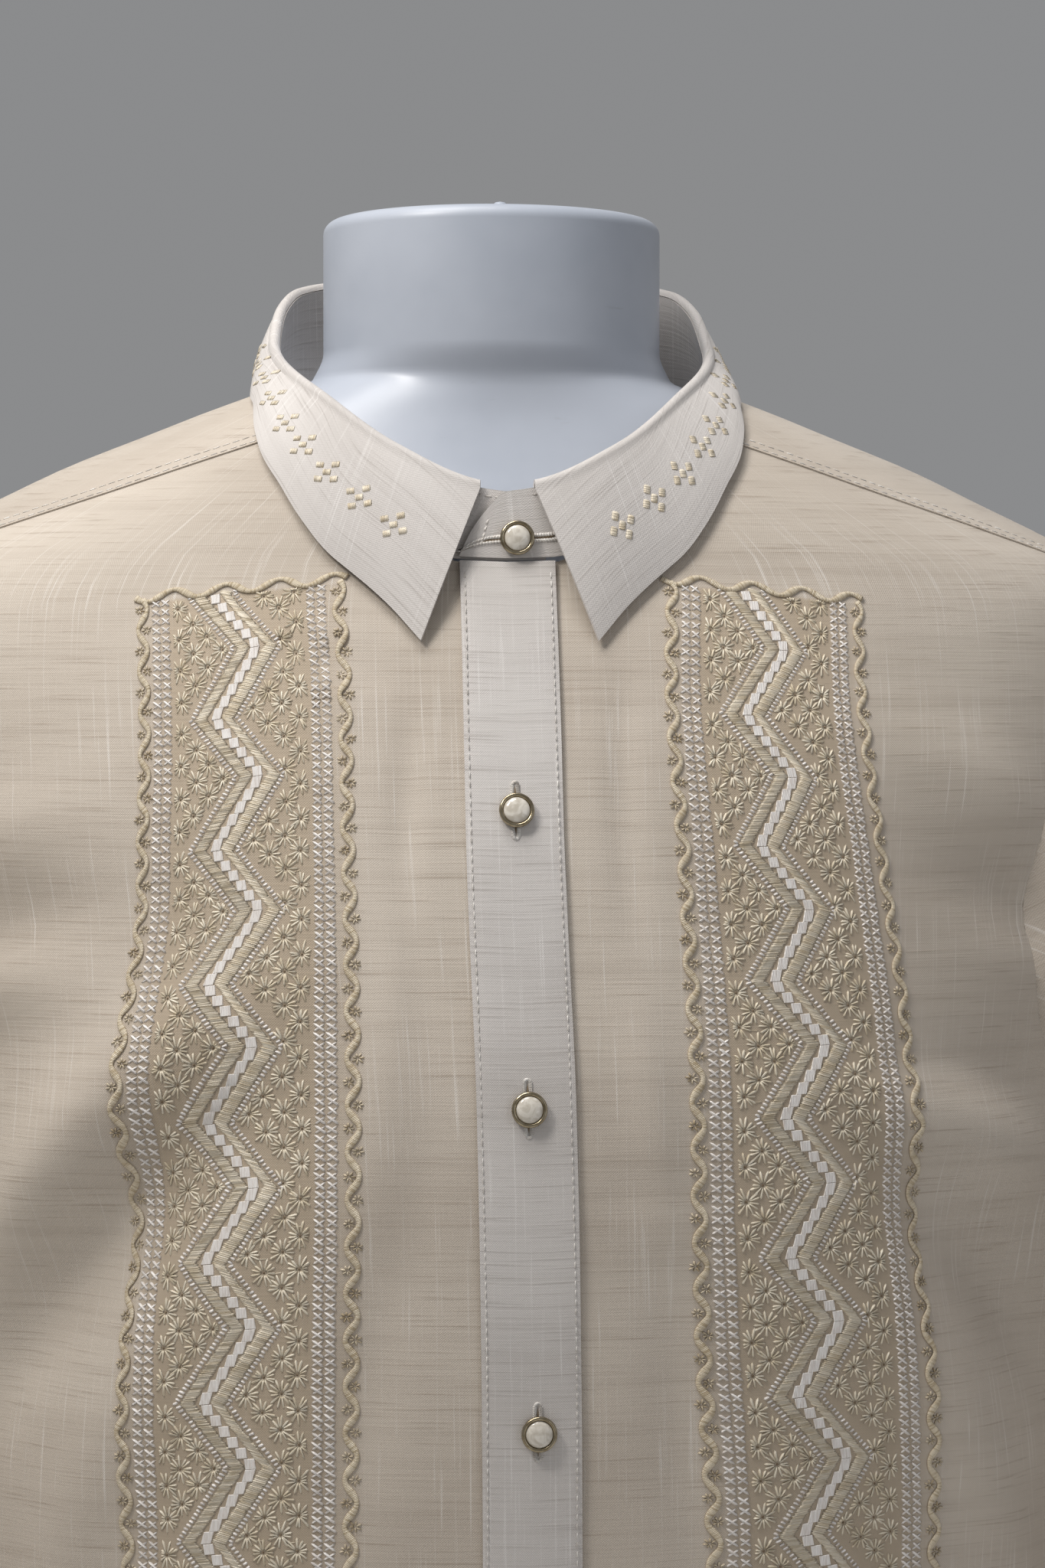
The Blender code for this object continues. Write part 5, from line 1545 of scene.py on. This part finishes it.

# %% [markdown]
# A buttonhole is worked round a slot with close stitches that stand off its edge. The slot itself
# is painted shade: a thin brown strip. A seam's top stitching is a row of short stitches with a small
# gap between them. The bindings and the top stitching are the same spindles as in the embroidery,
# laid in white sewing thread.

# %% Buttonholes
HOLE_HALF = 8.6                # millimetres from a button's middle to the slot's end
HOLE_BINDING = 1.5
HOLE_PITCH = 0.42


def on_placket(x, z, lift):
    """A place on the placket, in millimetres beside its middle line and up from the floor."""
    height = z / 1000.0
    return on_cloth(angle_at(x / 1000.0, height), height, PLACKET_OUT + lift / 1000.0)


def bind_slot(stitches, slot, x, z, upright, half=HOLE_HALF):
    """Binds a slot at (x, z) that runs up and down or, if not upright, sideways."""
    along = np.arange(-half, half, HOLE_PITCH)
    ends = np.radians(np.arange(-75.0, 76.0, 15.0))
    shapes = []
    for sign in (-1.0, 1.0):
        inner = np.column_stack([np.full(len(along), 0.25 * sign), along])
        outer = inner + np.column_stack([np.full(len(along), HOLE_BINDING * sign), 0.25 + 0 * along])
        shapes.append((inner, outer))
        cap = np.column_stack([np.sin(ends), sign * np.cos(ends)])
        shapes.append((cap * 0.25 + (0.0, sign * half), cap * HOLE_BINDING + (0.0, sign * half)))
    inner = np.concatenate([pair[0] for pair in shapes])
    outer = np.concatenate([pair[1] for pair in shapes])
    if not upright:
        inner, outer = inner[:, ::-1], outer[:, ::-1]
    stitches.spindles(inner + (x, z), outer + (x, z), 0.62, 0.5)
    reach = np.array([(0.0, half)]) if upright else np.array([(half, 0.0)])
    # Painted shade: the slot is a thin brown strip.
    slot.spindles(reach * -1.0 + (x, z), reach + (x, z), 0.9, 0.3)


bindings, slots = Stitches(), Stitches()
for height, shift in BUTTONS:
    bind_slot(bindings, slots, 1000.0 * shift - 0.3, 1000.0 * height + 0.4, True)
piece = bindings.make("buttonholes_placket", sewing_thread, on_placket)
piece = slots.make("buttonhole_slots_placket", hole_shade, on_placket)

# %% Rows of stitches
STITCH = 2.4                   # millimetres, and the gap between two
STITCH_GAP = 0.7
PLACKET_SEAM = 14.8            # from the placket's middle line


def stitch_row(stitches, path, length=STITCH, gap=STITCH_GAP, width=0.42, height=0.32):
    """Stitches along a path of places in millimetres."""
    run = np.append(0.0, np.cumsum(np.linalg.norm(np.diff(path, axis=0), axis=1)))
    start = np.arange(0.5, run[-1] - length, length + gap)
    first = np.column_stack([np.interp(start, run, path[:, k]) for k in (0, 1)])
    last = np.column_stack([np.interp(start + length, run, path[:, k]) for k in (0, 1)])
    stitches.spindles(first, last, width, height)


placket_rows = Stitches()
for x in (-PLACKET_SEAM, PLACKET_SEAM):
    top = 1000.0 * float(neckline_height(angle_at(abs(x) / 1000.0, NECK_PIT))) - 2.0
    z = np.linspace(1000.0 * HEM + 2.0, top, 200)
    stitch_row(placket_rows, np.column_stack([x + 0.12 * np.sin(z / 23.0), z]))
piece = placket_rows.make("stitching_placket", sewing_thread, on_placket)

SHIRT_RADIUS = 200.0           # millimetres, only to give angles a length
HEM_STITCHES = 12.0            # millimetres above the hem


def on_body(across, z, lift):
    """A place on the body's cloth: millimetres round it, and up from the floor."""
    return on_cloth(across / SHIRT_RADIUS, z / 1000.0, YOKE_OVER + lift / 1000.0)


body_rows = Stitches()
for sign in (1.0, -1.0):
    seam = np.linspace(0.03, 0.97, 40)
    turn = sign * (neck_start + (left_angle[0] - neck_start) * seam)
    neck = float(neckline_height(neck_start))
    z = neck + (left_height[0] - neck) * seam
    for inset in (1.4, 6.0):
        stitch_row(body_rows, np.column_stack([SHIRT_RADIUS * turn, 1000.0 * z + inset]))
    for first, last in ((5.2, 85.0), (95.0, 180.0)):
        turn = np.linspace(math.radians(first), math.radians(last), 60) * sign
        z = 0 * turn + 1000.0 * HEM + HEM_STITCHES
        stitch_row(body_rows, np.column_stack([SHIRT_RADIUS * turn, z]))
z = 1000.0 * back_height[2:-2] + 1.6
stitch_row(body_rows, np.column_stack([SHIRT_RADIUS * back_angle[2:-2], z]))
piece = body_rows.make("stitching_body", sewing_thread, on_body)

# %% Collar and cuff stitches
STAND_TURN = 1.4               # millimetres along the stand for each degree
STAND_RISE = 25.0              # and for its whole height, roughly
CUFF_TURN = 0.75               # millimetres along a cuff for each degree


def on_stand(across, up, lift):
    """A place on the stand from millimetres along it and up it."""
    return stand_point(across / STAND_TURN, up / STAND_RISE, lift / 1000.0)


stand_rows = Stitches()
turns = np.linspace(-355.0, 1.0, 400)
for up in (2.0, 22.5):
    stitch_row(stand_rows, np.column_stack([STAND_TURN * turns, up + 0 * turns]))
end_turn = STAND_TURN * (STAND_OVER_END + 1.6)
stitch_row(stand_rows, np.array([(end_turn, 5.0), (end_turn, 19.0)]))
hole, slot = Stitches(), Stitches()
bind_slot(hole, slot, STAND_TURN * (COLLAR_BUTTON_TURN + 0.2), collar_share * STAND_RISE, False, 7.6)
for name, stitches, material in (("stitching_stand", stand_rows, sewing_thread),
                                 ("buttonhole_collar", hole, sewing_thread),
                                 ("buttonhole_slot_collar", slot, hole_shade)):
    piece = stitches.make(name, material, on_stand)

for side, word in ((1, "left"), (-1, "right")):
    cuff_rows = Stitches()
    turns = np.linspace(CUFF_OPENING + 2.0, CUFF_OPENING + 360.0 + CUFF_OVERLAP - 2.0, 200)
    for z in (CUFF_TOP - 0.0025, CUFF_BOTTOM + 0.0025):
        stitch_row(cuff_rows, np.column_stack([CUFF_TURN * turns, 1000.0 * z + 0 * turns]))

    def on_cuff(across, z, lift, side=side):
        return cuff_point(across / CUFF_TURN, z / 1000.0, side, lift / 1000.0)

    piece = cuff_rows.make("stitching_cuff_" + word, sewing_thread, on_cuff)

# %% [markdown]
# Small diamonds of satin squares climb the collar from near its tips, five squares of floss and
# four of bare cloth in each. Both leaves have a row, which runs on round the side and stops there.

# %% Collar diamonds
DIAMONDS = (  # degrees from the centre front, share of the way from the collar's edge to its fold
    (22.5, 0.51), (32.0, 0.54), (40.5, 0.52), (48.0, 0.52), (55.5, 0.54), (66.0, 0.60),
    (76.5, 0.68), (88.0, 0.66), (99.0, 0.60),
)
SQUARE = 2.7                   # millimetres along each side of a square
SQUARE_GAP = 1.05              # pitch of the squares as a share of their side
DIAGONAL = 0.7071              # the squares stand on their corners
STRANDS = 5                    # stitches in a square; real floss lies closer
FALL_TURN = 1.5                # millimetres along the fall for each degree
FALL_RISE = 30.0               # and for its whole height, roughly


def diamond_place(turn, share, across, up):
    """Degrees and share of a place some millimetres from a diamond's middle."""
    at = fall_point(np.array([turn, turn + 0.5, turn]), np.array([share, share, share + 0.02])) * 1000.0
    per_turn, per_share = (at[1] - at[0]) / 0.5, (at[2] - at[0]) / 0.02
    level = per_turn / np.linalg.norm(per_turn)
    slant = per_share @ level
    steep = np.linalg.norm(per_share - slant * level)
    share_step = up / steep
    return turn + (across - slant * share_step) / np.linalg.norm(per_turn), share + share_step


collar_floss = Stitches()
both_leaves = [(-away, share) for away, share in DIAMONDS]
both_leaves += [(away - 360.0, share) for away, share in DIAMONDS]
for turn, share in both_leaves:
    for row in range(3):
        for place_in_row in range(3):
            if (row + place_in_row) % 2:
                continue
            a = (row - 1) * SQUARE * SQUARE_GAP
            b = (place_in_row - 1) * SQUARE * SQUARE_GAP
            offsets = (np.arange(STRANDS) + 0.5) / STRANDS * SQUARE - SQUARE / 2
            ends = []
            for reach in (-SQUARE / 2, SQUARE / 2):
                x = (a + offsets - b - reach) * DIAGONAL
                y = (a + offsets + b + reach) * DIAGONAL
                ends.append(np.column_stack(diamond_place(turn, share, x, y)))
            flat = [np.column_stack([end[:, 0] * FALL_TURN, end[:, 1] * FALL_RISE]) for end in ends]
            collar_floss.spindles(flat[0], flat[1], 0.80, 0.45)


def on_fall(across, up, lift):
    """A place on the fall from millimetres along it and up it."""
    return fall_point(across / FALL_TURN, up / FALL_RISE, lift / 1000.0)


piece = collar_floss.make("embroidery_collar", beige_floss, on_fall)

# %% [markdown]
# ## Print the sizes and finish

# %% Sheets, sizes and the end
SHEETS = {  # width and length as cut in metres, area as cut, how it is held, what it rests on
    "front_left": ((0.37, 0.76), 0.20, "hung", ["torso_form_plastic"]),
    "front_right": ((0.37, 0.76), 0.20, "hung", ["torso_form_plastic"]),
    "back": ((0.62, 0.68), 0.38, "hung", ["torso_form_plastic"]),
    "yoke": ((0.52, 0.23), 0.075, "hung", ["torso_form_plastic"]),
    "placket": ((0.033, 0.70), 0.023, "hung", ["front_left_cloth", "front_right_cloth"]),
    "collar_stand": ((0.51, 0.034), 0.016, "stretched", ["yoke_cloth"]),
    "collar_fall": ((0.53, 0.072), 0.026, "folded", ["collar_stand_cloth"]),
    "sleeve_left": ((0.46, 0.58), 0.20, "hung", ["front_left_cloth"]),
    "sleeve_right": ((0.46, 0.58), 0.20, "hung", ["front_right_cloth"]),
    "cuff_left": ((0.285, 0.064), 0.018, "stretched", ["sleeve_left_cloth"]),
    "cuff_right": ((0.285, 0.064), 0.018, "stretched", ["sleeve_right_cloth"]),
}
for name, (flat, area, held, rests) in SHEETS.items():
    measured = sum(face.area for face in cloth_pieces[name].data.polygons) / 2
    print(name, "cut", area, "m2, made", round(measured, 4))
low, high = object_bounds()
print("visual box", [round(v, 4) for v in low], [round(v, 4) for v in high])
